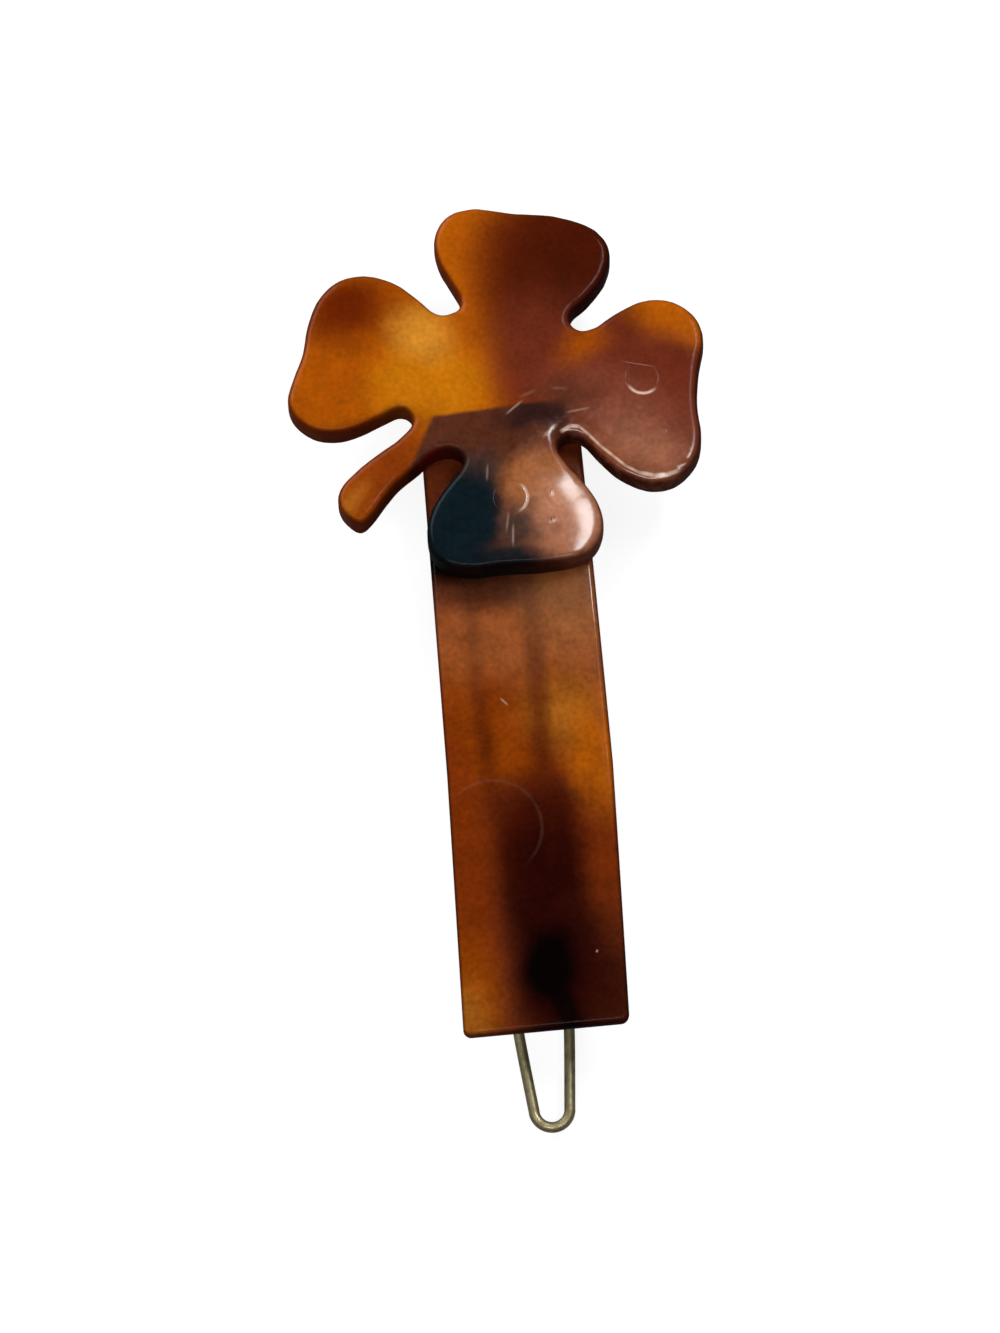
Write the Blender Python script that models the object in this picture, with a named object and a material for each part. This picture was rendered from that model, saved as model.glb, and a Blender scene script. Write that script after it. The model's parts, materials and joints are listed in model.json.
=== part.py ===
"""A tortoiseshell hair clip: a clover plate cemented on a bowed bar, with a spring wire bail behind it.

The front of the clip looks along +Z, its length runs along Y with the clover at +Y, and it rests on
its back on the hinge block and the catch. Each separate piece of the real clip is one object.
"""

import math

import bmesh
import bpy
from mathutils import Matrix, Vector

MM = 0.001

# Bar: a flat strip that carries the clover on a straight seat and bows from there to its tip.
BAR_WIDTH = 13.4 * MM
BAR_THICKNESS = 2.2 * MM
BAR_SEAT_LENGTH = 14.5 * MM
BAR_BOWED_LENGTH = 38.05 * MM
BAR_BOW = math.radians(14.0)
BAR_EDGE_ROUND = 0.4 * MM
BAR_TIP_CORNER = 0.65 * MM
BAR_SIDE_ROUND = 40.0 * MM
BAR_SEAT_CORNER = 1.2 * MM
BAR_SEAT_END_SKEW = math.radians(5.0)
BAR_TIP_END_SKEW = math.radians(1.4)
BAR_BOW_CUTS = 14

# Each point is (across, run) as shares of the bar's width and of its bowed length or, past the bow, its seat.
BAR_LEFT_SIDE_SHARES = [(-0.5, 1.0), (-0.49, 0.45), (-0.507, -1.0)]
BAR_RIGHT_SIDE_SHARES = [(0.463, -1.0), (0.512, 0.42), (0.498, 1.0)]

# Clover plate: four leaves and a stem sawn from one sheet, outlined clockwise about the middle.
CLOVER_THICKNESS = 3.0 * MM
CLOVER_EDGE_ROUND = 0.5 * MM
CLOVER_AHEAD_OF_BOW = 16.6 * MM
CLOVER_ASIDE = 0.54 * MM
CEMENT_LINE = 0.05 * MM
UPPER_LEAF_LENGTH = 14.8 * MM
UPPER_LEAF_WIDTH = 14.2 * MM
RIGHT_LEAF_LENGTH = 16.3 * MM
RIGHT_LEAF_WIDTH = 16.1 * MM
LOWER_LEAF_LENGTH = 17.1 * MM
LOWER_LEAF_WIDTH = 14.3 * MM
LEFT_LEAF_LENGTH = 18.05 * MM
LEFT_LEAF_WIDTH = 13.7 * MM
STEM_LENGTH = 18.1 * MM
STEM_WIDTH = 3.4 * MM
NECK_REACH = 8.0 * MM
UPPER_LEAF_ANGLE = math.radians(90.0)
RIGHT_LEAF_ANGLE = math.radians(0.0)
LOWER_LEAF_ANGLE = math.radians(-90.0)
STEM_ANGLE = math.radians(225.0)
LEFT_LEAF_ANGLE = math.radians(180.0)
OUTLINE_STEPS = 3

# Each point is (across, along) as shares of the leaf's width and length, clockwise round the leaf.
UPPER_LEAF_SHARES = [
    (-0.285, 0.56), (-0.345, 0.69), (-0.35, 0.86), (-0.225, 0.985), (0.11, 0.952),
    (0.442, 0.89), (0.627, 0.76), (0.64, 0.6), (0.5, 0.405),
]
RIGHT_LEAF_SHARES = [
    (-0.283, 0.57), (-0.347, 0.75), (-0.29, 0.92), (-0.145, 1.0), (0.05, 0.965),
    (0.25, 0.942), (0.45, 0.947), (0.575, 0.89), (0.662, 0.74), (0.601, 0.55), (0.469, 0.422),
]
LOWER_LEAF_SHARES = [
    (-0.295, 0.475), (-0.4, 0.59), (-0.483, 0.74), (-0.475, 0.86), (-0.39, 0.955), (-0.24, 0.99),
    (0.11, 0.995), (0.33, 0.997), (0.47, 0.935), (0.515, 0.83), (0.487, 0.695), (0.39, 0.57),
    (0.285, 0.465),
]
STEM_SHARES = [
    (-0.03, 0.6), (0.06, 0.715), (0.03, 0.82), (-0.03, 0.93), (0.02, 0.985), (0.3, 1.0),
    (0.76, 0.98), (0.985, 0.93), (1.03, 0.82), (0.94, 0.69), (0.79, 0.53),
]
LEFT_LEAF_SHARES = [
    (-0.225, 0.555), (-0.305, 0.7), (-0.323, 0.81), (-0.27, 0.92), (-0.12, 0.995), (0.04, 0.966),
    (0.2, 0.915), (0.4, 0.88), (0.595, 0.8), (0.685, 0.675), (0.64, 0.495), (0.505, 0.37),
]

# Each point is (x, y) as shares of the reach of the necks between the leaves.
UPPER_RIGHT_NECK_SHARES = [(0.69, 0.565), (0.715, 0.455), (0.84, 0.4)]
LOWER_RIGHT_NECK_SHARES = [(0.7, -0.755), (0.55, -0.74), (0.465, -0.85)]
LOWER_LEFT_NECK_SHARES = [(-0.495, -0.9), (-0.66, -0.81), (-0.84, -0.87)]
STEM_NECK_SHARES = [(-0.985, -0.46), (-1.08, -0.335)]
UPPER_LEFT_NECK_SHARES = [(-0.64, 0.685), (-0.5, 0.7), (-0.42, 0.75)]

# Spring wire bail: one hairpin of wire whose ends turn inwards into the hinge block.
WIRE_DIAMETER = 0.9 * MM
HAIR_GAP = 4.7 * MM
LOOP_PAST_TIP = 6.85 * MM
HINGE_AHEAD_OF_BOW = 5.0 * MM
HINGE_ASIDE = -1.3 * MM
BAIL_YAW = math.radians(1.6)
HINGE_SPREAD = 5.0 * MM
CATCH_SPREAD = 3.9 * MM
TIP_RADIUS = 1.45 * MM
WIRE_CORNER_RADIUS = 0.6 * MM
TRUNNION_LENGTH = 2.15 * MM
ARC_STEPS = 14
CORNER_STEPS = 4
LEG_STEPS = 3

# Each point is (distance from the hinge as a share of the reach, width as a share of the hinge spread).
LEG_START_SHARES = [(0.12, 1.0), (0.24, 1.0), (0.35, 0.92)]
LEG_WAIST_SHARE = 0.46
LEG_END_SHARE = 0.83
LEG_END_WIDTH_SHARE = 1.07

# Hinge block: cemented behind the seat, drilled crossways for the wire's turned ends.
BLOCK_SIDE_PLAY = 0.25 * MM
BLOCK_FOOT_LENGTH = 6.2 * MM
BLOCK_FOOT_HEIGHT = 1.2 * MM
BLOCK_NOSE_LENGTH = 3.6 * MM
BLOCK_NOSE_ROUND = 0.9 * MM
BLOCK_FOOT_ROUND = 0.5 * MM
BLOCK_EDGE_ROUND = 0.2 * MM
BORE_PLAY = 0.05 * MM
BORE_SIDES = 24

# Catch: a post with an overhanging head that stands between the legs near the bar's tip.
CATCH_AHEAD_OF_TIP = 6.45 * MM
CATCH_LENGTH = 4.4 * MM
CATCH_NECK_PLAY = 0.15 * MM
CATCH_HEAD_OVERHANG = 0.35 * MM
CATCH_HEAD_THICKNESS = 0.95 * MM
CATCH_HEAD_ROUND = 0.4 * MM
CATCH_NECK_ROUND = 0.2 * MM
CATCH_EDGE_ROUND = 0.2 * MM
LEG_PLAY = 0.1 * MM

# Weld distance for the loose caps of a filled curve, and the overrun of every cut.
WELD = 0.001 * MM
OVERRUN = 1.0 * MM
ROUND_STEPS = 5
SHARP_ANGLE = math.radians(40.0)

WIRE_RADIUS = WIRE_DIAMETER / 2
SEAT_TILT = BAR_BOW / 2
BOW_RADIUS = BAR_BOWED_LENGTH / BAR_BOW
CROWN_HEIGHT = BOW_RADIUS * (1 - math.cos(SEAT_TILT))
HINGE_FROM_TIP = HINGE_AHEAD_OF_BOW + 2 * BOW_RADIUS * math.sin(SEAT_TILT)
BAIL_REACH = HINGE_FROM_TIP + LOOP_PAST_TIP
CATCH_FROM_HINGE = HINGE_FROM_TIP - CATCH_AHEAD_OF_TIP
WIRE_HEIGHT = CROWN_HEIGHT - BAR_THICKNESS - HAIR_GAP - WIRE_RADIUS
BASE_HEIGHT = WIRE_HEIGHT - WIRE_RADIUS - LEG_PLAY - CATCH_HEAD_THICKNESS
BLOCK_WIDTH = HINGE_SPREAD - WIRE_DIAMETER - 2 * BLOCK_SIDE_PLAY
CATCH_GAP = CATCH_SPREAD - WIRE_DIAMETER
HALF_TURN = math.pi
QUARTER_TURN = math.pi / 2

# Tangent of the seat towards the bar's tip, and its normal to the front.
SEAT_TANGENT = Vector((0, -math.cos(SEAT_TILT), math.sin(SEAT_TILT)))
SEAT_NORMAL = Vector((0, math.sin(SEAT_TILT), math.cos(SEAT_TILT)))
ACROSS = Vector((1, 0, 0))
MATRIX_SIZE = 4


def clear_scene():
    """Remove every object of the startup scene."""
    for item in list(bpy.data.objects):
        bpy.data.objects.remove(item, do_unlink=True)


def new_collection(name):
    """Add a collection to the scene."""
    collection = bpy.data.collections.new(name)
    bpy.context.scene.collection.children.link(collection)
    return collection


def new_material(name, colour, roughness, metallic):
    """Add a Principled material of one colour."""
    material = bpy.data.materials.new(name)
    material.use_nodes = True
    shader = material.node_tree.nodes["Principled BSDF"]
    shader.inputs["Base Color"].default_value = (*colour, 1.0)
    shader.inputs["Roughness"].default_value = roughness
    shader.inputs["Metallic"].default_value = metallic
    material.diffuse_color = (*colour, 1.0)
    return material


def arc_points(centre, radius, start, end, steps):
    """Points of a flat arc from one angle to another, both ends included."""
    angles = [start + (end - start) * step / steps for step in range(steps + 1)]
    return [Vector((centre[0] + radius * math.cos(a), centre[1] + radius * math.sin(a))) for a in angles]


def rounded_outline(corners):
    """A closed flat outline whose corners, each (x, y, radius), are turned into arcs."""
    outline = []
    count = len(corners)
    for index, (x, y, radius) in enumerate(corners):
        corner = Vector((x, y))
        before = Vector(corners[index - 1][:2]) - corner
        after = Vector(corners[(index + 1) % count][:2]) - corner
        before.normalize()
        after.normalize()
        half = math.acos(max(-1, min(1, before.dot(after)))) / 2
        centre = corner + (before + after).normalized() * radius / math.sin(half)
        start = corner + before * radius / math.tan(half) - centre
        end = corner + after * radius / math.tan(half) - centre
        first = math.atan2(start.y, start.x)
        turn = math.atan2(start.x * end.y - start.y * end.x, start.dot(end))
        outline.extend(arc_points(centre, radius, first, first + turn, ROUND_STEPS))
    return outline


def smooth_route(points, steps):
    """Points along a smooth curve through the given ones."""
    route = []
    for index in range(len(points) - 1):
        before = points[max(index - 1, 0)]
        start = points[index]
        end = points[index + 1]
        after = points[min(index + 2, len(points) - 1)]
        for step in range(steps):
            t = step / steps
            spread = (end - before) * t + (before * 2 - start * 5 + end * 4 - after) * t * t
            swing = (start * 3 - before - end * 3 + after) * t * t * t
            route.append(start + (spread + swing) / 2)
    route.append(points[-1])
    return route


def curve_to_mesh(curve_object, name):
    """Replace a curve object by a mesh object of the same shape and place, with its caps welded."""
    bpy.context.view_layer.update()
    graph = bpy.context.evaluated_depsgraph_get()
    mesh = bpy.data.meshes.new_from_object(curve_object.evaluated_get(graph))
    mesh.name = name
    place = curve_object.matrix_world.copy()
    bpy.data.objects.remove(curve_object, do_unlink=True)
    result = bpy.data.objects.new(name, mesh)
    result.matrix_world = place
    shape = bmesh.new()
    shape.from_mesh(mesh)
    bmesh.ops.remove_doubles(shape, verts=shape.verts, dist=WELD)
    bmesh.ops.recalc_face_normals(shape, faces=shape.faces)
    shape.to_mesh(mesh)
    shape.free()
    return result


def link(item, collection, material=None):
    """Put an object in a collection and give it its material."""
    for owner in list(item.users_collection):
        owner.objects.unlink(item)
    collection.objects.link(item)
    if material:
        item.data.materials.clear()
        item.data.materials.append(material)


def smooth(item, angle):
    """Shade round faces smooth and keep edges sharper than the angle."""
    item.data.shade_smooth()
    item.data.set_sharp_from_angle(angle=angle)


def flat_plate(name, thickness, edge_round, outline, curved=False):
    """A plate about its middle plane, with rounded edges, from a polygon or, if curved, a smooth outline."""
    data = bpy.data.curves.new(name, "CURVE")
    data.dimensions = "2D"
    data.fill_mode = "BOTH"
    data.extrude = thickness / 2 - edge_round
    data.bevel_depth = edge_round
    data.bevel_resolution = 1
    data.offset = -edge_round
    if curved:
        spline = data.splines.new("BEZIER")
        spline.bezier_points.add(len(outline) - 1)
        for knot, point in zip(spline.bezier_points, outline):
            knot.co = (point[0], point[1], 0)
            knot.handle_left_type = "AUTO"
            knot.handle_right_type = "AUTO"
        data.resolution_u = OUTLINE_STEPS
    else:
        spline = data.splines.new("POLY")
        spline.points.add(len(outline) - 1)
        for knot, point in zip(spline.points, outline):
            knot.co = (point[0], point[1], 0, 1)
    spline.use_cyclic_u = True
    item = bpy.data.objects.new(name, data)
    bpy.context.scene.collection.objects.link(item)
    return curve_to_mesh(item, name)


def bar_point(across, run, depth):
    """A place on the bar: its run past the start of the bow, and its depth behind the front face."""
    bend = max(run, 0) / BOW_RADIUS
    tangent = SEAT_TANGENT * math.cos(bend) - SEAT_NORMAL * math.sin(bend)
    normal = SEAT_NORMAL * math.cos(bend) + SEAT_TANGENT * math.sin(bend)
    arc = (normal - SEAT_NORMAL) * BOW_RADIUS
    return ACROSS * across + arc + tangent * min(run, 0) - normal * depth


def bar_outline(grow):
    """The bar's flat outline, as across and run turned to -Y, grown all round for a clearance cut."""
    skews = {-1.0: math.tan(BAR_SEAT_END_SKEW), 1.0: math.tan(BAR_TIP_END_SKEW)}
    rounds = {-1.0: BAR_SEAT_CORNER, 1.0: BAR_TIP_CORNER}
    lengths = {True: BAR_BOWED_LENGTH, False: BAR_SEAT_LENGTH}
    corners = []
    for side, run in reversed(BAR_RIGHT_SIDE_SHARES + BAR_LEFT_SIDE_SHARES):
        across = BAR_WIDTH * side + math.copysign(grow, side)
        along = -lengths[run > 0] * run
        if run in skews:
            along += across * skews[run] - math.copysign(grow, run)
        corners.append((across, along, rounds.get(run, BAR_SIDE_ROUND)))
    return rounded_outline(corners)


def bar_plate(name, behind=0.0, grow=0.0):
    """The bar, bent along its bow; behind thickens it at the back for a clearance cut."""
    thickness = BAR_THICKNESS + behind
    plate = flat_plate(name, thickness, BAR_EDGE_ROUND, bar_outline(grow))
    shape = bmesh.new()
    shape.from_mesh(plate.data)
    for cut in range(BAR_BOW_CUTS):
        run = BAR_BOWED_LENGTH * cut / BAR_BOW_CUTS
        everything = shape.verts[:] + shape.edges[:] + shape.faces[:]
        bmesh.ops.bisect_plane(
            shape, geom=everything, dist=WELD, plane_co=(0, -run, 0), plane_no=(0, 1, 0)
        )
    for vertex in shape.verts:
        vertex.co = bar_point(vertex.co.x, -vertex.co.y, thickness / 2 - vertex.co.z)
    bmesh.ops.triangulate(shape, faces=shape.faces)
    bmesh.ops.recalc_face_normals(shape, faces=shape.faces)
    shape.to_mesh(plate.data)
    shape.free()
    return plate


def leaf_points(angle, length, width, shares):
    """Outline points of one leaf that grows from the clover's middle at an angle."""
    along = Vector((math.cos(angle), math.sin(angle)))
    across = Vector((math.sin(angle), -math.cos(angle)))
    return [along * length * far + across * width * side for side, far in shares]


def neck_points(shares):
    """Outline points of the hollow between two leaves."""
    return [Vector((x, y)) * NECK_REACH for x, y in shares]


def clover_outline():
    """The clover's outline, clockwise from the left foot of the upper leaf."""
    points = leaf_points(UPPER_LEAF_ANGLE, UPPER_LEAF_LENGTH, UPPER_LEAF_WIDTH, UPPER_LEAF_SHARES)
    points += neck_points(UPPER_RIGHT_NECK_SHARES)
    points += leaf_points(RIGHT_LEAF_ANGLE, RIGHT_LEAF_LENGTH, RIGHT_LEAF_WIDTH, RIGHT_LEAF_SHARES)
    points += neck_points(LOWER_RIGHT_NECK_SHARES)
    points += leaf_points(LOWER_LEAF_ANGLE, LOWER_LEAF_LENGTH, LOWER_LEAF_WIDTH, LOWER_LEAF_SHARES)
    points += neck_points(LOWER_LEFT_NECK_SHARES)
    points += leaf_points(STEM_ANGLE, STEM_LENGTH, STEM_WIDTH, STEM_SHARES)
    points += neck_points(STEM_NECK_SHARES)
    points += leaf_points(LEFT_LEAF_ANGLE, LEFT_LEAF_LENGTH, LEFT_LEAF_WIDTH, LEFT_LEAF_SHARES)
    points += neck_points(UPPER_LEFT_NECK_SHARES)
    return points


def make_clover():
    """The clover plate, flat on the bar's seat with a line of cement under it."""
    plate = flat_plate("clover_plate", CLOVER_THICKNESS, CLOVER_EDGE_ROUND, clover_outline(), curved=True)
    plate.location = bar_point(CLOVER_ASIDE, -CLOVER_AHEAD_OF_BOW, -CEMENT_LINE - CLOVER_THICKNESS / 2)
    plate.rotation_euler = (-SEAT_TILT, 0, 0)
    return plate


def bail_frame():
    """The place of the hinge axis: X along the axis, -Y towards the wire's loop."""
    place = Vector((HINGE_ASIDE, HINGE_AHEAD_OF_BOW, WIRE_HEIGHT))
    return Matrix.Translation(place) @ Matrix.Rotation(BAIL_YAW, MATRIX_SIZE, "Z")


def leg_route():
    """The right leg's centreline, from its corner at the hinge to the start of the loop."""
    half = HINGE_SPREAD / 2
    waist = CATCH_SPREAD / 2
    points = [Vector((half, -WIRE_CORNER_RADIUS))]
    points += [Vector((half * wide, -BAIL_REACH * far)) for far, wide in LEG_START_SHARES]
    points.append(Vector((waist, -BAIL_REACH * LEG_WAIST_SHARE)))
    points.append(Vector((waist, CATCH_LENGTH / 2 - CATCH_FROM_HINGE)))
    points.append(Vector((waist, -CATCH_LENGTH / 2 - CATCH_FROM_HINGE)))
    points.append(Vector((waist * LEG_END_WIDTH_SHARE, -BAIL_REACH * LEG_END_SHARE)))
    points.append(Vector((TIP_RADIUS, TIP_RADIUS - BAIL_REACH)))
    return smooth_route(points, LEG_STEPS)


def wire_route():
    """The whole wire's centreline: a turned end, a leg, the loop, the other leg and its turned end."""
    half = HINGE_SPREAD / 2
    corner_centre = (half - WIRE_CORNER_RADIUS, -WIRE_CORNER_RADIUS)
    loop_centre = (0, TIP_RADIUS - BAIL_REACH)
    right = [Vector((half - TRUNNION_LENGTH, 0))]
    right += arc_points(corner_centre, WIRE_CORNER_RADIUS, QUARTER_TURN, 0, CORNER_STEPS)[:-1]
    right += leg_route()[:-1]
    left = [Vector((-point.x, point.y)) for point in reversed(right)]
    return right + arc_points(loop_centre, TIP_RADIUS, 0, -HALF_TURN, ARC_STEPS) + left


def make_wire():
    """The bail: a wire of one diameter, with its object's origin on the hinge axis."""
    route = wire_route()
    data = bpy.data.curves.new("wire_bail", "CURVE")
    data.dimensions = "3D"
    data.bevel_depth = WIRE_RADIUS
    data.bevel_resolution = 3
    data.use_fill_caps = True
    spline = data.splines.new("POLY")
    spline.points.add(len(route) - 1)
    for knot, point in zip(spline.points, route):
        knot.co = (point.x, point.y, 0, 1)
    spline.use_smooth = True
    wire = bpy.data.objects.new("wire_bail", data)
    wire.matrix_world = bail_frame()
    return wire


def cut(item, cutter):
    """Take a cutter's shape out of an object."""
    modifier = item.modifiers.new(cutter.name, "BOOLEAN")
    modifier.operation = "DIFFERENCE"
    modifier.solver = "EXACT"
    modifier.object = cutter


def make_hinge_block():
    """The hinge block, a foot that narrows to a nose round the bore."""
    foot = BLOCK_FOOT_LENGTH / 2
    nose = BLOCK_NOSE_LENGTH / 2
    behind_bar = bar_point(0, -HINGE_AHEAD_OF_BOW, BAR_THICKNESS).z - WIRE_HEIGHT
    top = behind_bar + BAR_THICKNESS / 2
    shoulder = behind_bar - BLOCK_FOOT_HEIGHT
    bottom = BASE_HEIGHT - WIRE_HEIGHT
    outline = rounded_outline([
        (-nose, bottom, BLOCK_NOSE_ROUND),
        (nose, bottom, BLOCK_NOSE_ROUND),
        (foot, shoulder, BLOCK_FOOT_ROUND),
        (foot, top, BLOCK_FOOT_ROUND),
        (-foot, top, BLOCK_FOOT_ROUND),
        (-foot, shoulder, BLOCK_FOOT_ROUND),
    ])
    block = flat_plate("hinge_block", BLOCK_WIDTH, BLOCK_EDGE_ROUND, outline)
    upright = Matrix.Rotation(QUARTER_TURN, MATRIX_SIZE, "X")
    sideways = Matrix.Rotation(QUARTER_TURN, MATRIX_SIZE, "Z")
    block.matrix_world = bail_frame() @ sideways @ upright
    return block


def make_catch():
    """The catch, a neck between the wire's legs with a head that overhangs them."""
    head = CATCH_GAP / 2 + CATCH_HEAD_OVERHANG
    neck = CATCH_GAP / 2 - CATCH_NECK_PLAY
    place = bail_frame() @ Vector((0, -CATCH_FROM_HINGE, 0))
    top = bar_point(0, -place.y, BAR_THICKNESS / 2).z - WIRE_HEIGHT
    bottom = BASE_HEIGHT - WIRE_HEIGHT
    under = bottom + CATCH_HEAD_THICKNESS
    outline = rounded_outline([
        (-head, bottom, CATCH_HEAD_ROUND),
        (head, bottom, CATCH_HEAD_ROUND),
        (head, under, CATCH_NECK_ROUND),
        (neck, under, CATCH_NECK_ROUND),
        (neck, top, CATCH_NECK_ROUND),
        (-neck, top, CATCH_NECK_ROUND),
        (-neck, under, CATCH_NECK_ROUND),
        (-head, under, CATCH_NECK_ROUND),
    ])
    catch = flat_plate("catch_post", CATCH_LENGTH, CATCH_EDGE_ROUND, outline)
    turn = Matrix.Rotation(QUARTER_TURN, MATRIX_SIZE, "X")
    along = Matrix.Translation(Vector((0, -CATCH_FROM_HINGE, 0)))
    catch.matrix_world = bail_frame() @ along @ turn
    return catch


def make_bore():
    """The drill through the hinge block along the hinge axis."""
    bpy.ops.mesh.primitive_cylinder_add(
        vertices=BORE_SIDES, radius=WIRE_RADIUS + BORE_PLAY, depth=BLOCK_WIDTH + 2 * OVERRUN
    )
    bore = bpy.context.object
    bore.name = "hinge_bore"
    bore.matrix_world = bail_frame() @ Matrix.Rotation(QUARTER_TURN, MATRIX_SIZE, "Y")
    return bore


def hide_cutter(item, collection):
    """Keep a cutter out of the render and show it as wires."""
    link(item, collection)
    item.hide_render = True
    item.display_type = "WIRE"


def stand_on_base(root, pieces):
    """Move the clip so that its base lies at Z = 0 below the middle of its bounding box."""
    bpy.context.view_layer.update()
    graph = bpy.context.evaluated_depsgraph_get()
    corners = []
    for piece in pieces:
        shown = piece.evaluated_get(graph)
        mesh = shown.to_mesh()
        corners += [shown.matrix_world @ vertex.co for vertex in mesh.vertices]
        shown.to_mesh_clear()
    low = [min(corner[axis] for corner in corners) for axis in range(len(ACROSS))]
    high = [max(corner[axis] for corner in corners) for axis in range(len(ACROSS))]
    root.location = (-(low[0] + high[0]) / 2, -(low[1] + high[1]) / 2, -low[2])
    bpy.context.view_layer.update()


def main():
    """Build the clip."""
    clear_scene()
    clip = new_collection("hair_clip")
    cutters = new_collection("cutters")
    amber = new_material("amber_clover", (0.36, 0.11, 0.02), 0.12, 0.0)
    brown = new_material("brown_bar", (0.23, 0.06, 0.02), 0.15, 0.0)
    block_brown = new_material("brown_hinge_block", (0.2, 0.05, 0.02), 0.2, 0.0)
    catch_brown = new_material("dark_catch", (0.06, 0.015, 0.01), 0.2, 0.0)
    brass = new_material("aged_brass_wire", (0.34, 0.3, 0.17), 0.35, 1.0)

    clover = make_clover()
    bar = bar_plate("bar")
    block = make_hinge_block()
    catch = make_catch()
    wire = make_wire()
    seat_cutter = bar_plate("bar_clearance", behind=CEMENT_LINE, grow=CEMENT_LINE)
    bore = make_bore()

    dressed = [(clover, amber), (bar, brown), (block, block_brown), (catch, catch_brown), (wire, brass)]
    for piece, material in dressed:
        link(piece, clip, material)
    for cutter in (seat_cutter, bore):
        hide_cutter(cutter, cutters)
    cut(block, seat_cutter)
    cut(block, bore)
    cut(catch, seat_cutter)
    for piece in (clover, bar, block, catch):
        smooth(piece, SHARP_ANGLE)

    root = bpy.data.objects.new("hair_clip", None)
    clip.objects.link(root)
    bpy.context.view_layer.update()
    for item in (clover, bar, block, catch, wire, seat_cutter, bore):
        item.parent = root
    stand_on_base(root, (clover, bar, block, catch, wire))


main()
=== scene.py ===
"""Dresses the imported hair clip: a tortoiseshell clover and bar, with the wire bail behind them.

The front of the clip looks along +Z and its length runs along Y, with the clover at +Y. All sizes in
the classes are in millimetres on the real clip, and are turned into metres where a mesh is made.
"""

import json
import logging
import math
from collections.abc import Callable, Sequence
from dataclasses import dataclass
from enum import Enum
from functools import cache

import bpy
from bpy.types import Node, NodeSocket, NodeTree, Object
from mathutils import Euler, Matrix, Vector

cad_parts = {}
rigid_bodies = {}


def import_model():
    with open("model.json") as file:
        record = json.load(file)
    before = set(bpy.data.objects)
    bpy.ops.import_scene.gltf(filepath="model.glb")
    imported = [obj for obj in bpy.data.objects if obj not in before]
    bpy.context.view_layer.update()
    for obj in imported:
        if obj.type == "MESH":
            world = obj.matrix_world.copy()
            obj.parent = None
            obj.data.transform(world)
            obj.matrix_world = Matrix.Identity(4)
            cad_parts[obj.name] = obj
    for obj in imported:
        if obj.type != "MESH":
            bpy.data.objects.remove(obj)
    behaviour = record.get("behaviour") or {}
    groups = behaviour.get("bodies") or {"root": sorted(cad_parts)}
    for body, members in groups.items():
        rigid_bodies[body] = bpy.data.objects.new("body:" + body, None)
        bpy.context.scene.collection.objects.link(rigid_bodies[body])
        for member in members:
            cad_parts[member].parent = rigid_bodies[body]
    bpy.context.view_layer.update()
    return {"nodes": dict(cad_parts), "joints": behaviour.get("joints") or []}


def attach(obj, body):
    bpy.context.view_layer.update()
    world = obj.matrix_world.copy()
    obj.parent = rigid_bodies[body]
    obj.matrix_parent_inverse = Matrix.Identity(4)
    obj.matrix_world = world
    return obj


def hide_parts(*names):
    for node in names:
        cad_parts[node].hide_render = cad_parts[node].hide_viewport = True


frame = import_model()

MM = 0.001
PER_METRE = 1000.0
SEAT_TILT = math.radians(7.0)
QUARTER_TURN = math.pi / 2
EIGHT_BIT = 255.0
NODE_GAP = 40.0

# Share of a voxel by which flat faces lie off the grid of a remesh, which would pit them.
OFF_GRID = 0.3

# Places of the sockets of Blender's Mix node when it mixes colours.
MIX_INPUTS = (0, 6, 7)
MIX_RESULT = 2

# Kinds of the node groups' named sockets. All other names are plain numbers.
SOCKET_KINDS = {
    **dict.fromkeys(("Place", "Centre", "Reach", "Point", "Away", "Lit Side", "Plate Normal"), "Vector"),
    **dict.fromkeys(("Colour", "Tint"), "Color"),
}

# What the painted shade on the sawn walls, and the darker patches within the painted shade over the bar,
# leave of the plastic's colour.
WALL_SHADE = (0.30, 0.16, 0.12, 1.0)
PATCH_SHADE = (0.78, 0.74, 0.74, 1.0)

# How a plate's normal leans on its front's: where walls start and end, and where the back does.
WALL_LEAN = (0.97, 0.5)
BACK_LEAN = (-0.5, -0.9)

# Leaves the height out of coordinates.
FLAT = (1.0, 1.0, 0.0)

# How a noise is squeezed to look like rubs along X, and how scratches and rings fade out.
RUB_SQUEEZE = (0.5, 4.0, 1.0)
SCRATCH_FADES = (0.3, 0.2)
RING_FADE = 0.5

# Places along two and three axes.
Spot = tuple[float, float]
Place = tuple[float, float, float]

log = logging.getLogger("hair_clip")


class Body(Enum):
    """The bodies that the pieces ride on."""

    CLIP = "body"
    BAIL = "bail"


class Slot(Enum):
    """The record's material slots."""

    CLOVER = "amber_tortoiseshell"
    BAR = "brown_tortoiseshell"
    BLOCK = "brown_block"
    CATCH = "dark_catch"
    WIRE = "aged_brass"


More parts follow.
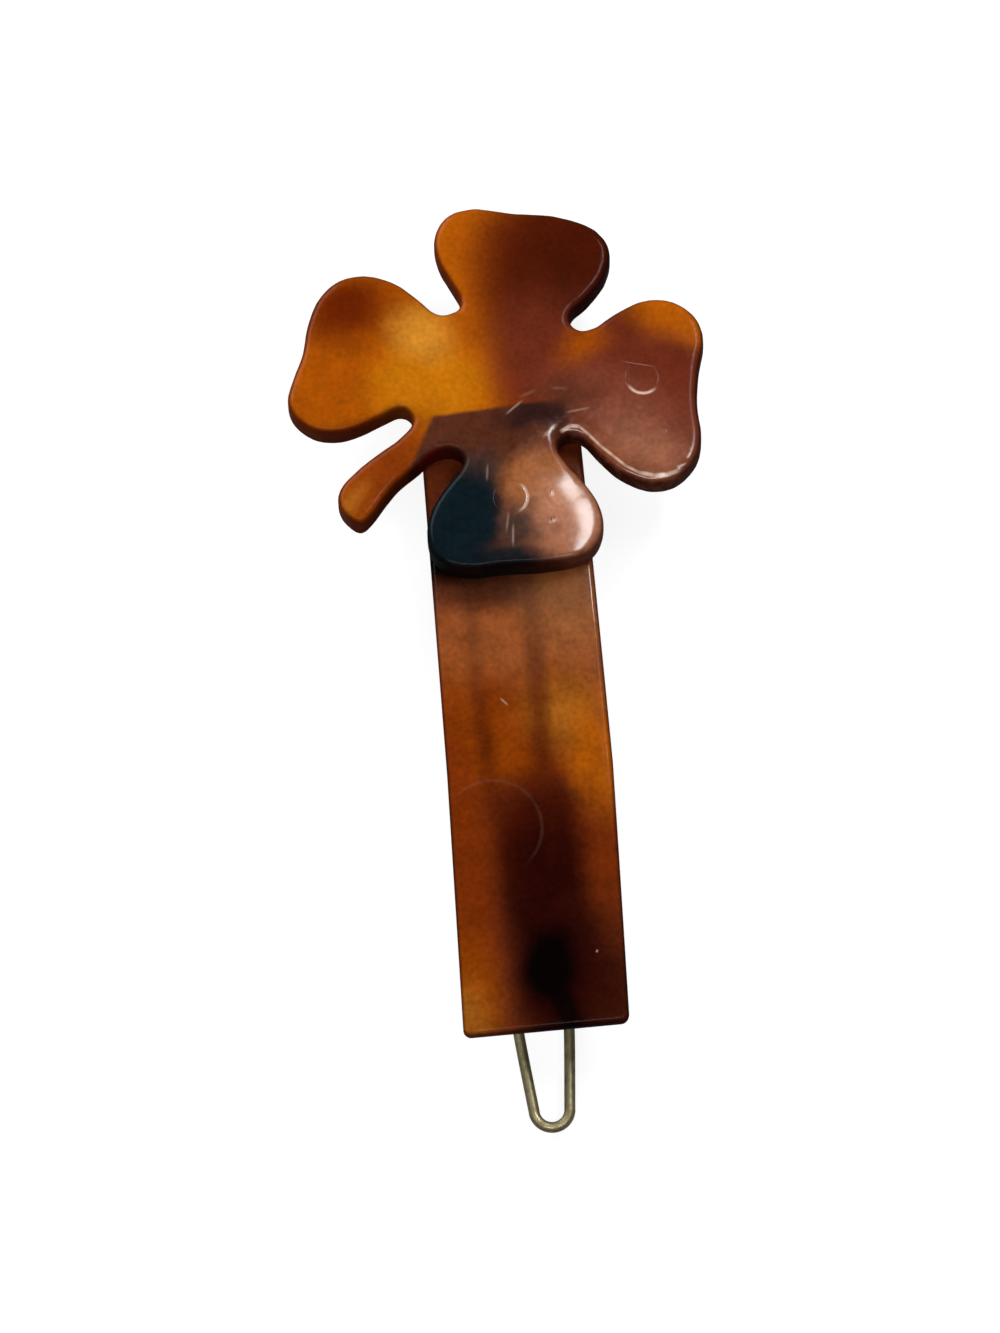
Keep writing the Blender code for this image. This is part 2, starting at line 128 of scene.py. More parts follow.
class Tint(Enum):
    """Colours of the clouds, as eight-bit red, green and blue. The last two mask the gloss."""

    HONEY = (202, 130, 38)
    GOLD = (195, 115, 9)
    AMBER = (178, 88, 6)
    CARAMEL = (154, 70, 4)
    RUST = (124, 48, 8)
    BURNT = (103, 33, 3)
    BRICK = (112, 48, 23)
    WINE = (80, 25, 6)
    DARK_WINE = (58, 14, 5)
    MAROON = (40, 6, 4)
    PLUM = (104, 42, 24)
    # Dusty plum holds a painted milky sheen as well as the plastic's colour.
    DUSTY_PLUM = (124, 64, 46)
    CLAY = (158, 86, 42)
    TAN = (158, 94, 50)
    OCHRE = (172, 98, 26)
    INK_PLUM = (50, 27, 24)
    DEEP_RED = (92, 2, 2)
    # Pale scuffs, and the painted glints and highlights.
    SCUFF = (238, 205, 182)
    # Rose and pale rose hold a painted milky sheen as well as the plastic's colour.
    ROSE = (152, 92, 64)
    PALE_ROSE = (192, 132, 102)
    UMBER = (86, 44, 28)
    SMOKE = (72, 50, 42)
    # Slate is near-black plastic with a painted bluish reflection.
    SLATE = (14, 27, 33)
    # Near-black of painted shadow and shade.
    SOOT = (8, 3, 3)
    DULL = (0, 0, 0)
    POLISHED = (255, 255, 255)


@dataclass(frozen=True)
class Grain:
    """A noise: its features for each millimetre, its finer layers, and how much it counts."""

    scale: float
    detail: float
    share: float = 1.0


STIR_BROAD = Grain(0.22, 1.0)
STIR_FINE = Grain(0.9, 2.0, 0.3)
MOTTLE_BROAD = Grain(0.45, 3.0, 0.5)
MOTTLE_FINE = Grain(2.4, 3.0, 0.5)
POLISH_WAVE = Grain(0.3, 1.0)
POLISH_GRAIN = Grain(1.5, 2.0, 0.22)
POLISH_PORES = Grain(4.0, 2.0, 0.4)
POLISH_RUBS = Grain(2.2, 4.0, 0.05)
POLISH_DULL = Grain(0.6, 4.0, 0.06)
PATCHES = Grain(0.9, 3.0)
# Speckles of a painted sheen.
SHEEN_SPECKLE = Grain(1.1, 4.0, 0.16)
PATINA = Grain(1.3, 4.0)
GRIME = Grain(5.0, 3.0, 0.3)
DRAWN_LINES = Grain(1.0, 3.0)


def linear(tint: Tint) -> tuple[float, ...]:
    """Turn a tint into the linear colour that a shader socket takes.

    Args:
        tint: One of the plastic's colours.

    Returns:
        Linear red, green and blue, with a full alpha.
    """
    shares = [value / EIGHT_BIT for value in tint.value]
    low, slope, offset, power = 0.04045, 12.92, 0.055, 2.4
    parts = [s / slope if s <= low else ((s + offset) / (1 + offset)) ** power for s in shares]
    return (*parts, 1.0)


def pick_only(item: Object) -> None:
    """Select one object alone and make it the active one."""
    bpy.ops.object.select_all(action="DESELECT")
    item.select_set(True)
    bpy.context.view_layer.objects.active = item


def begin_edit(item: Object, kind: str = "VERT", action: str = "SELECT") -> None:
    """Enter edit mode on one object with all its corners or edges selected, or none."""
    pick_only(item)
    bpy.ops.object.mode_set(mode="EDIT")
    bpy.ops.mesh.select_mode(type=kind)
    bpy.ops.mesh.select_all(action=action)


def end_edit() -> None:
    """Leave edit mode."""
    bpy.ops.object.mode_set(mode="OBJECT")


def edit_where(item: Object, kind: str, wanted: Callable[..., bool]) -> None:
    """Enter edit mode with only those corners or edges selected that are wanted.

    Args:
        item: The object.
        kind: VERT or EDGE.
        wanted: Tells it by a corner's place, or by the places of an edge's two ends.
    """
    begin_edit(item, kind, "DESELECT")
    end_edit()
    mesh = item.data
    for part in mesh.vertices if kind == "VERT" else mesh.edges:
        corners = [part.index] if kind == "VERT" else part.vertices
        part.select = wanted(*[mesh.vertices[corner].co for corner in corners])
    bpy.ops.object.mode_set(mode="EDIT")


def cut_across(item: Object, levels: list[float]) -> None:
    """Cut a mesh across at each of the given levels of Z."""
    begin_edit(item)
    for level in levels:
        bpy.ops.mesh.select_all(action="SELECT")
        bpy.ops.mesh.bisect(plane_co=(0.0, 0.0, level), plane_no=(0.0, 0.0, 1.0))
    end_edit()


def weld(item: Object) -> None:
    """Merge doubled corners and point every face outwards."""
    begin_edit(item)
    bpy.ops.mesh.remove_doubles(threshold=0.001 * MM)
    bpy.ops.mesh.normals_make_consistent(inside=False)
    end_edit()


def modify(item: Object, kind: str, **settings: object) -> None:
    """Add a modifier of a kind with its settings, and apply it."""
    modifier = item.modifiers.new(kind.lower(), kind)
    for name, value in settings.items():
        setattr(modifier, name, value)
    pick_only(item)
    bpy.ops.object.modifier_apply(modifier=modifier.name)


def polish(item: Object, passes: int) -> None:
    """Smooth an object's corners towards their neighbours, the given number of times."""
    modify(item, "SMOOTH", factor=0.5, iterations=passes)


def round_edges(item: Object, width: float, segments: int, angle: float) -> None:
    """Round the edges that bend more than an angle in degrees by a width in millimetres."""
    modify(
        item, "BEVEL", width=width * MM, segments=segments, limit_method="ANGLE",
        angle_limit=math.radians(angle),
    )


def settle(item: Object) -> None:
    """Move an object's place, turn and scale into its mesh."""
    pick_only(item)
    bpy.ops.object.transform_apply(location=True, rotation=True, scale=True)


def tilt(item: Object, angle: float) -> None:
    """Turn an object about X through the origin, in its mesh."""
    item.rotation_euler = (angle, 0.0, 0.0)
    settle(item)


def copy_node(node: str, name: str) -> Object:
    """Copy a CAD node as a free object of its own, with its loose triangles merged.

    Args:
        node: Name of the CAD node.
        name: Name of the new piece.

    Returns:
        The new object, with no parent and no material.
    """
    pick_only(frame["nodes"][node])
    bpy.ops.object.duplicate(linked=False)
    item = bpy.context.active_object
    bpy.ops.object.parent_clear(type="CLEAR_KEEP_TRANSFORM")
    for key in list(item.keys()):
        del item[key]
    item.rotation_mode = "XYZ"
    item.name = name
    item.data.name = name
    item.data.materials.clear()
    weld(item)
    return item


def remesh(item: Object, voxel: float, passes: int) -> None:
    """Turn an object into an even mesh and smooth it, which rounds its rims.

    Args:
        item: The object.
        voxel: Size of the new faces in millimetres.
        passes: How often the new mesh is smoothed.
    """
    low = Vector([min(vertex.co[axis] for vertex in item.data.vertices) for axis in range(3)])
    off_grid = Vector([OFF_GRID * voxel * MM] * 3) - low
    item.location = off_grid
    settle(item)
    modify(item, "REMESH", mode="VOXEL", voxel_size=voxel * MM, use_smooth_shade=True)
    polish(item, passes)
    item.location = -off_grid
    settle(item)


def carve(item: Object, cutters: list[Object]) -> None:
    """Take cutters out of an object, and delete them.

    Args:
        item: The object to be cut.
        cutters: Closed objects that don't touch each other.
    """
    pick_only(cutters[0])
    for cutter in cutters:
        cutter.select_set(True)
    bpy.ops.object.join()
    tool = bpy.context.active_object
    settle(tool)
    modify(item, "BOOLEAN", operation="DIFFERENCE", solver="EXACT", object=tool)
    bpy.data.objects.remove(tool, do_unlink=True)


def press(item: Object, spots: list[Vector], reach: float, depth: float, spread: float) -> None:
    """Press a stretch of a rim down, and let the surface beside it slope towards it.

    Args:
        item: The object.
        spots: Places along the rim, in metres.
        reach: How far from them the surface is pressed fully, in millimetres.
        depth: How far it is pressed along -Z, in millimetres.
        spread: How far beyond that the surface follows, in millimetres.
    """
    edit_where(item, "VERT", lambda place: min((place - spot).length for spot in spots) < reach * MM)
    bpy.ops.transform.translate(
        value=(0.0, 0.0, -depth * MM), use_proportional_edit=True, use_proportional_connected=True,
        proportional_edit_falloff="SHARP", proportional_size=spread * MM,
    )
    end_edit()


def smooth_route(points: list[Vector], steps: int) -> list[Vector]:
    """Points along a smooth curve through the given ones.

    Args:
        points: The points that the curve passes.
        steps: How many steps lead from one to the next.

    Returns:
        The route, both ends included.
    """
    route = []
    for index in range(len(points) - 1):
        before = points[max(index - 1, 0)]
        start = points[index]
        end = points[index + 1]
        after = points[min(index + 2, len(points) - 1)]
        for step in range(steps):
            t = step / steps
            spread = (end - before) * t + (before * 2 - start * 5 + end * 4 - after) * t * t
            swing = (start * 3 - before - end * 3 + after) * t * t * t
            route.append(start + (spread + swing) / 2)
    route.append(points[-1])
    return route


def arc(centre: Vector, radius: float, start: float, end: float, steps: int) -> list[Vector]:
    """Points along an arc from one angle to another, the last one left out."""
    angles = [start + (end - start) * step / steps for step in range(steps)]
    return [centre + Vector((math.cos(angle), math.sin(angle), 0.0)) * radius for angle in angles]


def hand_over(item: Object, node: str, body: Body) -> None:
    """Let a finished piece stand for its CAD node and move with its body."""
    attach(item, body.value)
    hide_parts(node)
    log.info("%s: %d faces", item.name, len(item.data.polygons))


class Sheet:
    """A node tree that is filled from left to right."""

    def __init__(self, tree: NodeTree) -> None:
        """Start on an empty tree."""
        self.tree = tree
        tree.nodes.clear()

    def node(self, kind: str, *values: object, **settings: object) -> Node:
        """Add a node, and feed its first inputs.

        Args:
            kind: Blender's name of the node type, without the leading words ShaderNode.
            values: Sockets or values for the inputs, in their order.
            settings: Attributes of the node.

        Returns:
            The new node.
        """
        new = self.tree.nodes.new(kind if kind.startswith("NodeGroup") else "ShaderNode" + kind)
        new.location = (len(self.tree.nodes) * NODE_GAP, 0.0)
        for name, value in settings.items():
            setattr(new, name, value)
        for socket, value in zip(new.inputs, values):
            self.feed(socket, value)
        return new

    def feed(self, socket: NodeSocket, value: object) -> None:
        """Link a socket to another one, or set its value."""
        if isinstance(value, NodeSocket):
            self.tree.links.new(value, socket)
        else:
            socket.default_value = value

    def fill(self, node: Node, values: dict[str, object]) -> Node:
        """Feed a node's inputs by their names, and return the node."""
        for name, value in values.items():
            self.feed(node.inputs[name], value)
        return node

    def maths(self, operation: str, *values: object, clamp: bool = False) -> NodeSocket:
        """Add a Math node and return its result."""
        return self.node("Math", *values, operation=operation, use_clamp=clamp).outputs[0]

    def scale(self, value: object, share: object) -> NodeSocket:
        """Multiply a value by a share."""
        return self.maths("MULTIPLY", value, share)

    def vector(self, operation: str, *values: object) -> NodeSocket:
        """Add a Vector Math node and return its result."""
        new = self.node("VectorMath", *values, operation=operation)
        return new.outputs["Value" if operation in ("LENGTH", "DOT_PRODUCT") else "Vector"]

    def turned(self, place: object, centre: object, angle: object) -> NodeSocket:
        """Measure coordinates from a centre, and turn them about Z."""
        offset = self.vector("SUBTRACT", place, centre)
        new = self.node("VectorRotate", rotation_type="Z_AXIS")
        return self.fill(new, {"Vector": offset, "Angle": angle}).outputs["Vector"]

    def step(self, value: object, start: object, end: object) -> NodeSocket:
        """Add a soft step that is 0 at the start and 1 at the end."""
        return self.node("MapRange", value, start, end, interpolation_type="SMOOTHSTEP").outputs["Result"]

    def blend(self, factor: object, first: object, second: object, mode: str = "MIX") -> NodeSocket:
        """Add a Mix node for colours and return its result."""
        new = self.node("Mix", data_type="RGBA", blend_type=mode)
        for index, value in zip(MIX_INPUTS, (factor, first, second)):
            self.feed(new.inputs[index], value)
        return new.outputs[MIX_RESULT]

    def noise(self, place: object, grain: Grain, output: str = "Fac") -> NodeSocket:
        """Add a Noise Texture of a grain, and return its value or its colour."""
        values = {"Vector": place, "Scale": grain.scale, "Detail": grain.detail}
        return self.fill(self.node("TexNoise"), values).outputs[output]

    def add_socket(self, name: str, way: str) -> None:
        """Give a node group a named socket, as an INPUT or an OUTPUT."""
        kind = "NodeSocket" + SOCKET_KINDS.get(name, "Float")
        self.tree.interface.new_socket(name=name, in_out=way, socket_type=kind)

    def give(self, **outputs: NodeSocket) -> NodeTree:
        """Give a node group its named outputs, and return its tree."""
        for name in outputs:
            self.add_socket(name, "OUTPUT")
        self.node("NodeGroupOutput", *outputs.values())
        return self.tree

    def use(self, group: Callable[[], NodeTree], *values: object) -> NodeSocket | list[NodeSocket]:
        """Place a node group, feed its inputs in their order, and return its output or outputs."""
        outputs = list(self.node("Group", *values, node_tree=group()).outputs)
        return outputs if len(outputs) > 1 else outputs[0]

    def place(self, origin: Place = (0.0, 0.0, 0.0), lean: float = 0.0) -> NodeSocket:
        """Add coordinates in millimetres.

        Args:
            origin: Point of the object from which they are measured, in millimetres.
            lean: Turn about X that lays the plate flat, in radians.

        Returns:
            Socket of the coordinates.
        """
        own = self.node("TexCoord").outputs["Object"]
        shift = -(Euler((lean, 0.0, 0.0)).to_matrix() @ Vector(origin))
        new = self.node("Mapping", own, shift, (lean, 0.0, 0.0), (PER_METRE,) * 3, vector_type="POINT")
        return new.outputs["Vector"]

    def surface(self, values: dict[str, object], height: object, depth: float) -> None:
        """Add the shader and link it to the output.

        Args:
            values: Sockets or values of the shader's inputs, by their names.
            height: Socket of the height of its bumps.
            depth: How deep the bumps are, in millimetres.
        """
        bump = self.fill(self.node("Bump"), {"Distance": depth * MM, "Height": height})
        shader = self.fill(self.node("BsdfPrincipled"), {**values, "Normal": bump.outputs["Normal"]})
        self.node("OutputMaterial", shader.outputs["BSDF"])


def new_group(name: str, *inputs: str) -> tuple[Sheet, list[NodeSocket]]:
    """Start a node group.

    Args:
        name: Name of the group.
        inputs: Names of its inputs.

    Returns:
        The sheet to fill, and the inputs' sockets.
    """
    sheet = Sheet(bpy.data.node_groups.new(name, "ShaderNodeTree"))
    for socket in inputs:
        sheet.add_socket(socket, "INPUT")
    given = sheet.node("NodeGroupInput").outputs
    return sheet, [given[socket] for socket in inputs]


@cache
def oval_cloud() -> NodeTree:
    """Group that lays a soft oval cloud of one tint over a colour."""
    sheet, (place, colour, tint, centre, reach, turn, softness, strength) = new_group(
        "oval_cloud", "Place", "Colour", "Tint", "Centre", "Reach", "Turn", "Softness", "Strength"
    )
    shares = sheet.vector("DIVIDE", sheet.turned(place, centre, turn), reach)
    far = sheet.vector("LENGTH", sheet.vector("MULTIPLY", shares, FLAT))
    outer = sheet.maths("ADD", 1.0, softness)
    inner = sheet.maths("SUBTRACT", 1.0, softness)
    mask = sheet.scale(sheet.step(far, outer, inner), strength)
    return sheet.give(Colour=sheet.blend(mask, colour, tint))


@cache
def stirred() -> NodeTree:
    """Group that pushes coordinates about, so that clouds get the edges of stirred plastic."""
    sheet, (place, amount) = new_group("stirred", "Place", "Amount")
    broad, fine = [
        sheet.vector("SUBTRACT", sheet.noise(place, grain, "Color"), (0.5, 0.5, 0.5))
        for grain in (STIR_BROAD, STIR_FINE)
    ]
    both = sheet.vector("ADD", broad, sheet.vector("MULTIPLY", fine, (STIR_FINE.share,) * 3))
    scaled = sheet.fill(sheet.node("VectorMath", both, operation="SCALE"), {"Scale": amount})
    return sheet.give(Place=sheet.vector("ADD", place, scaled.outputs["Vector"]))


@cache
def mottle() -> NodeTree:
    """Group that gives a colour the faint uneven depth of cast plastic."""
    sheet, (place, colour, amount, level) = new_group("mottle", "Place", "Colour", "Amount", "Level")
    parts = [sheet.scale(sheet.noise(place, grain), grain.share) for grain in (MOTTLE_BROAD, MOTTLE_FINE)]
    swing = sheet.scale(sheet.maths("SUBTRACT", sheet.maths("ADD", *parts), 0.5), amount)
    grey = sheet.node("CombineColor", *[sheet.maths("ADD", level, swing)] * 3).outputs[0]
    return sheet.give(Colour=sheet.blend(1.0, colour, grey, "MULTIPLY"))


@cache
def facing() -> NodeTree:
    """Group that tells a plate's walls and back from its front by the normal on the object."""
    sheet, (plate_normal,) = new_group("facing", "Plate Normal")
    lean = sheet.vector("DOT_PRODUCT", sheet.node("TexCoord").outputs["Normal"], plate_normal)
    wall = sheet.step(sheet.maths("ABSOLUTE", lean), *WALL_LEAN)
    return sheet.give(Wall=wall, Back=sheet.step(lean, *BACK_LEAN))


@cache
def one_side() -> NodeTree:
    """Group that masks all that lies on one side of a straight line."""
    sheet, (place, point, away, softness) = new_group("one_side", "Place", "Point", "Away", "Softness")
    far = sheet.vector("DOT_PRODUCT", sheet.vector("SUBTRACT", place, point), away)
    return sheet.give(Mask=sheet.step(far, sheet.scale(softness, -1.0), softness))


@cache
def ring_glint() -> NodeTree:
    """Group that masks the arc of a thin circle on the side that faces a light, where a mould pin's ring is
    painted pale as a highlight.
    """
    sheet, (place, centre, radius, width, lit_side, lit_from) = new_group(
        "ring_glint", "Place", "Centre", "Radius", "Width", "Lit Side", "Lit From"
    )
    offset = sheet.vector("MULTIPLY", sheet.vector("SUBTRACT", place, centre), FLAT)
    far = sheet.maths("SUBTRACT", sheet.vector("LENGTH", offset), radius)
    line = sheet.step(sheet.maths("ABSOLUTE", far), width, 0.0)
    lit = sheet.vector("DOT_PRODUCT", sheet.vector("NORMALIZE", offset), lit_side)
    fully_lit = sheet.maths("ADD", lit_from, RING_FADE)
    return sheet.give(Mask=sheet.scale(line, sheet.step(lit, lit_from, fully_lit)))


@cache
def scratch() -> NodeTree:
    """Group that masks one short straight scratch."""
    sheet, (place, centre, turn, *halves) = new_group(
        "scratch", "Place", "Centre", "Turn", "Half Length", "Half Width"
    )
    parts = sheet.node("SeparateXYZ", sheet.turned(place, centre, turn)).outputs
    masks = [
        sheet.step(sheet.maths("DIVIDE", sheet.maths("ABSOLUTE", part), half), 1.0, fade)
        for part, half, fade in zip(parts, halves, SCRATCH_FADES)
    ]
    return sheet.give(Mask=sheet.scale(*masks))


@cache
def hand_polish() -> NodeTree:
    """Group that gives polished plastic its waviness, fine rubs and uneven gloss."""
    sheet, (place, roughness) = new_group("hand_polish", "Place", "Roughness")
    squeezed = sheet.vector("MULTIPLY", place, RUB_SQUEEZE)
    height = sheet.noise(place, POLISH_WAVE)
    for where, grain in ((place, POLISH_GRAIN), (place, POLISH_PORES), (squeezed, POLISH_RUBS)):
        height = sheet.maths("ADD", height, sheet.scale(sheet.noise(where, grain), grain.share))
    dull = sheet.maths("SUBTRACT", sheet.noise(place, POLISH_DULL), 0.5)
    swing = sheet.scale(dull, POLISH_DULL.share)
    return sheet.give(Height=height, Roughness=sheet.maths("ADD", roughness, swing, clamp=True))


@dataclass(frozen=True)
class Cloud:
    """A soft oval cloud of one tint, placed in millimetres on the front of a plate."""

    tint: Tint
    place: Spot
    reach: Spot
    turn: float = 0.0
    soft: float = 0.5
    strength: float = 1.0

    def lay(self, sheet: Sheet, place: object, colour: object) -> NodeSocket:
        """Lay the cloud over a colour."""
        return sheet.use(
            oval_cloud, place, colour, linear(self.tint), (*self.place, 0.0), (*self.reach, 1.0),
            -math.radians(self.turn), self.soft, self.strength,
        )


def pale_wear_and_glint(sheet: Sheet, colour: object, mask: object, strength: float) -> NodeSocket:
    """Turn a colour pale where a mask says so, for scuffs and for painted glints and highlights."""
    return sheet.blend(sheet.scale(mask, strength), colour, linear(Tint.SCUFF))


@dataclass(frozen=True)
class Ring:
    """The circular mark of a mould pin, with a pale arc painted as a highlight on the side that the light
    grazes.
    """

    place: Spot
    radius: float
    lit_side: Spot
    lit_from: float = 0.2
    width: float = 0.13
    strength: float = 0.8

    def lay(self, sheet: Sheet, place: object, colour: object) -> NodeSocket:
        """Lay the mark's painted highlight over a colour."""
        lit_side = (*self.lit_side, 0.0)
        mask = sheet.use(
            ring_glint, place, (*self.place, 0.0), self.radius, self.width, lit_side, self.lit_from
        )
        return pale_wear_and_glint(sheet, colour, mask, self.strength)


@dataclass(frozen=True)
class Scratch:
    """A short pale stroke, placed in millimetres and turned from +X; it lays scuffs, and also painted glints
    and highlights.
    """

    place: Spot
    turn: float
    half_length: float
    half_width: float = 0.14
    strength: float = 0.42

    def lay(self, sheet: Sheet, place: object, colour: object) -> NodeSocket:
        """Lay the stroke over a colour."""
        turn = -math.radians(self.turn)
        mask = sheet.use(scratch, place, (*self.place, 0.0), turn, self.half_length, self.half_width)
        return pale_wear_and_glint(sheet, colour, mask, self.strength)


@dataclass(frozen=True)
class Border:
    """A straight border on a front: a point of it, the way that lies beyond it, and its softness."""

    point: Spot
    beyond: Spot
    soft: float

    def mask(self, sheet: Sheet, place: object) -> NodeSocket:
        """Mask all that lies beyond the border."""
        return sheet.use(one_side, place, (*self.point, 0.0), (*self.beyond, 0.0), self.soft)


def rim_highlight(points: list[Spot], half_width: float, strength: float) -> list[Scratch]:
    """Pale strokes that follow each other along a line: a highlight painted along a rim."""
    overlap = 0.7
    strokes = []
    for (x, y), (to_x, to_y) in zip(points, points[1:]):
        turn = math.degrees(math.atan2(to_y - y, to_x - x))
        half_length = math.hypot(to_x - x, to_y - y) * overlap
        strokes.append(Scratch(((x + to_x) / 2, (y + to_y) / 2), turn, half_length, half_width, strength))
    return strokes


def lay(sheet: Sheet, place: object, colour: object, layers: Sequence[Cloud | Ring | Scratch]) -> NodeSocket:
    """Lay clouds or marks over a colour, one after the other.

    Args:
        sheet: The material's nodes.
        place: Socket of the coordinates in millimetres.
        colour: Socket or value of the colour under them.
        layers: The clouds or marks, from the deepest to the nearest.

    Returns:
        Socket of the finished colour.
    """
    for layer in layers:
        colour = layer.lay(sheet, place, colour)
    return colour


@dataclass(frozen=True)
class Plastic:
    """Polished plastic: how rough, glossy and uneven it is."""

    roughness: float = 0.14
    level: float = 1.0
    gloss: float = 0.7
    gloss_roughness: float = 0.1
    specular: float = 0.05
    wall_roughness: float = 0.6
    wall_dulling: float = 0.95
    mottle: float = 0.35
    wave: float = 0.02

    def finish(
        self, sheet: Sheet, place: object, colour: object, wall: object = None, fresh: object = None
    ) -> None:
        """Add the shader and its polish.

        Args:
            sheet: The material's nodes.
            place: Socket of the coordinates in millimetres.
            colour: Socket of the base colour.
            wall: Socket that is 1 on sawn walls, which aren't as glossy, or None if all is alike.
            fresh: Socket that is 1 where the polish is still fresh, given wherever wall is.
        """
        rough, coat = self.roughness, self.gloss
        if wall is not None:
            rough = sheet.maths("ADD", sheet.scale(wall, self.wall_roughness - self.roughness), rough)
            glossy = sheet.maths("SUBTRACT", 1.0, sheet.scale(wall, self.wall_dulling))
            coat = sheet.scale(sheet.scale(glossy, fresh), self.gloss)
        height, rough = sheet.use(hand_polish, place, rough)
        values = {
            "Base Color": sheet.use(mottle, place, colour, self.mottle, self.level),
            "Roughness": rough,
            "Specular IOR Level": self.specular,
            "Coat Weight": coat,
            "Coat Roughness": self.gloss_roughness,
        }
        sheet.surface(values, height, self.wave)


@dataclass(frozen=True)
class AgedBrass:
    """Drawn brass wire, dulled by tarnish and specked with dirt."""

    bright: tuple = (0.40, 0.35, 0.20, 1.0)
    tarnish: tuple = (0.27, 0.23, 0.12, 1.0)
    dirt: tuple = (0.12, 0.10, 0.05, 1.0)
    tarnish_edges: tuple = (0.4, 0.66)
    dirt_edges: tuple = (0.58, 0.72)
    roughness: float = 0.42
    tarnish_roughness: float = 0.12
    metallic: float = 0.85
    drawn: tuple = (9.0, 0.8, 9.0)
    drawn_depth: float = 0.01

    def finish(self, sheet: Sheet, place: object) -> None:
        """Add the shader, its patina, and the fine lines that the drawing left."""
        dark = sheet.step(sheet.noise(place, PATINA), *self.tarnish_edges)
        colour = sheet.blend(dark, self.bright, self.tarnish)
        specks = sheet.step(sheet.noise(place, GRIME), *self.dirt_edges)
        colour = sheet.blend(sheet.scale(specks, GRIME.share), colour, self.dirt)
        rough = sheet.maths("ADD", self.roughness, sheet.scale(dark, self.tarnish_roughness))
        lines = sheet.noise(sheet.vector("MULTIPLY", place, self.drawn), DRAWN_LINES)
        values = {"Base Color": colour, "Roughness": rough, "Metallic": self.metallic}
        sheet.surface(values, lines, self.drawn_depth)


def new_material(item: Object, name: str) -> Sheet:
    """Give an object a new material, and return its sheet of nodes."""
    material = bpy.data.materials.new(name)
    material.use_nodes = True
    item.data.materials.append(material)
    return Sheet(material.node_tree)


@dataclass(kw_only=True)
class Piece:
    """A piece of the clip: its CAD node, its own name, its material, and its slot and body."""

    node: str
    name: str
    look: str
    slot: Slot
    body: Body = Body.CLIP
    smooth_below: float = 35.0

    def make(self) -> Object:
        """Build the piece's mesh."""
        raise NotImplementedError

    def dress(self, sheet: Sheet) -> None:
        """Fill the sheet of the piece's material."""
        raise NotImplementedError

    def put_in_place(self) -> None:
        """Build the piece, let it stand for its CAD node, and dress it."""
        item = self.make()
        item.name = self.name
        pick_only(item)
        bpy.ops.object.shade_smooth_by_angle(angle=math.radians(self.smooth_below))
        hand_over(item, self.node, self.body)
        self.dress(new_material(item, self.look))


@dataclass(kw_only=True)
class PlasticPiece(Piece):
    """A piece of clouded plastic, with painted shade on its sawn walls, marks and some fresh polish."""

    plastic: Plastic
    ground: Tint
    stir: float
    clouds: list[Cloud]
    notches: Sequence[Cloud] = ()
    marks: Sequence[Ring | Scratch] = ()
    polished: Sequence[Cloud] = ()
    wall_shade_share: float = 0.8

    def clouded(self, sheet: Sheet, place: object) -> NodeSocket:
        """Lay the piece's clouds over its ground, and return the colour's socket."""
        return lay(sheet, sheet.use(stirred, place, self.stir), linear(self.ground), self.clouds)

    def shade_walls_and_mark(self, sheet: Sheet, place: object, colour: object, wall: object) -> tuple[object, object]:
        """Paint shade on the walls, and lay the marks.

        Args:
            sheet: The material's nodes.
            place: Socket of the coordinates in millimetres.
            colour: Socket of the plastic's colour.
            wall: Socket that is 1 on the walls.

        Returns:
            Sockets of the colour with its painted wall shade and marks, and of where the polish is fresh.
        """
        # The walls are painted darker than the faces, as painted shade.
        darker = sheet.blend(1.0, colour, WALL_SHADE, "MULTIPLY")
        darker = lay(sheet, place, darker, self.notches)
        colour = sheet.blend(sheet.scale(wall, self.wall_shade_share), colour, darker)
        colour = lay(sheet, place, colour, self.marks)
        return colour, lay(sheet, place, linear(Tint.DULL), self.polished)


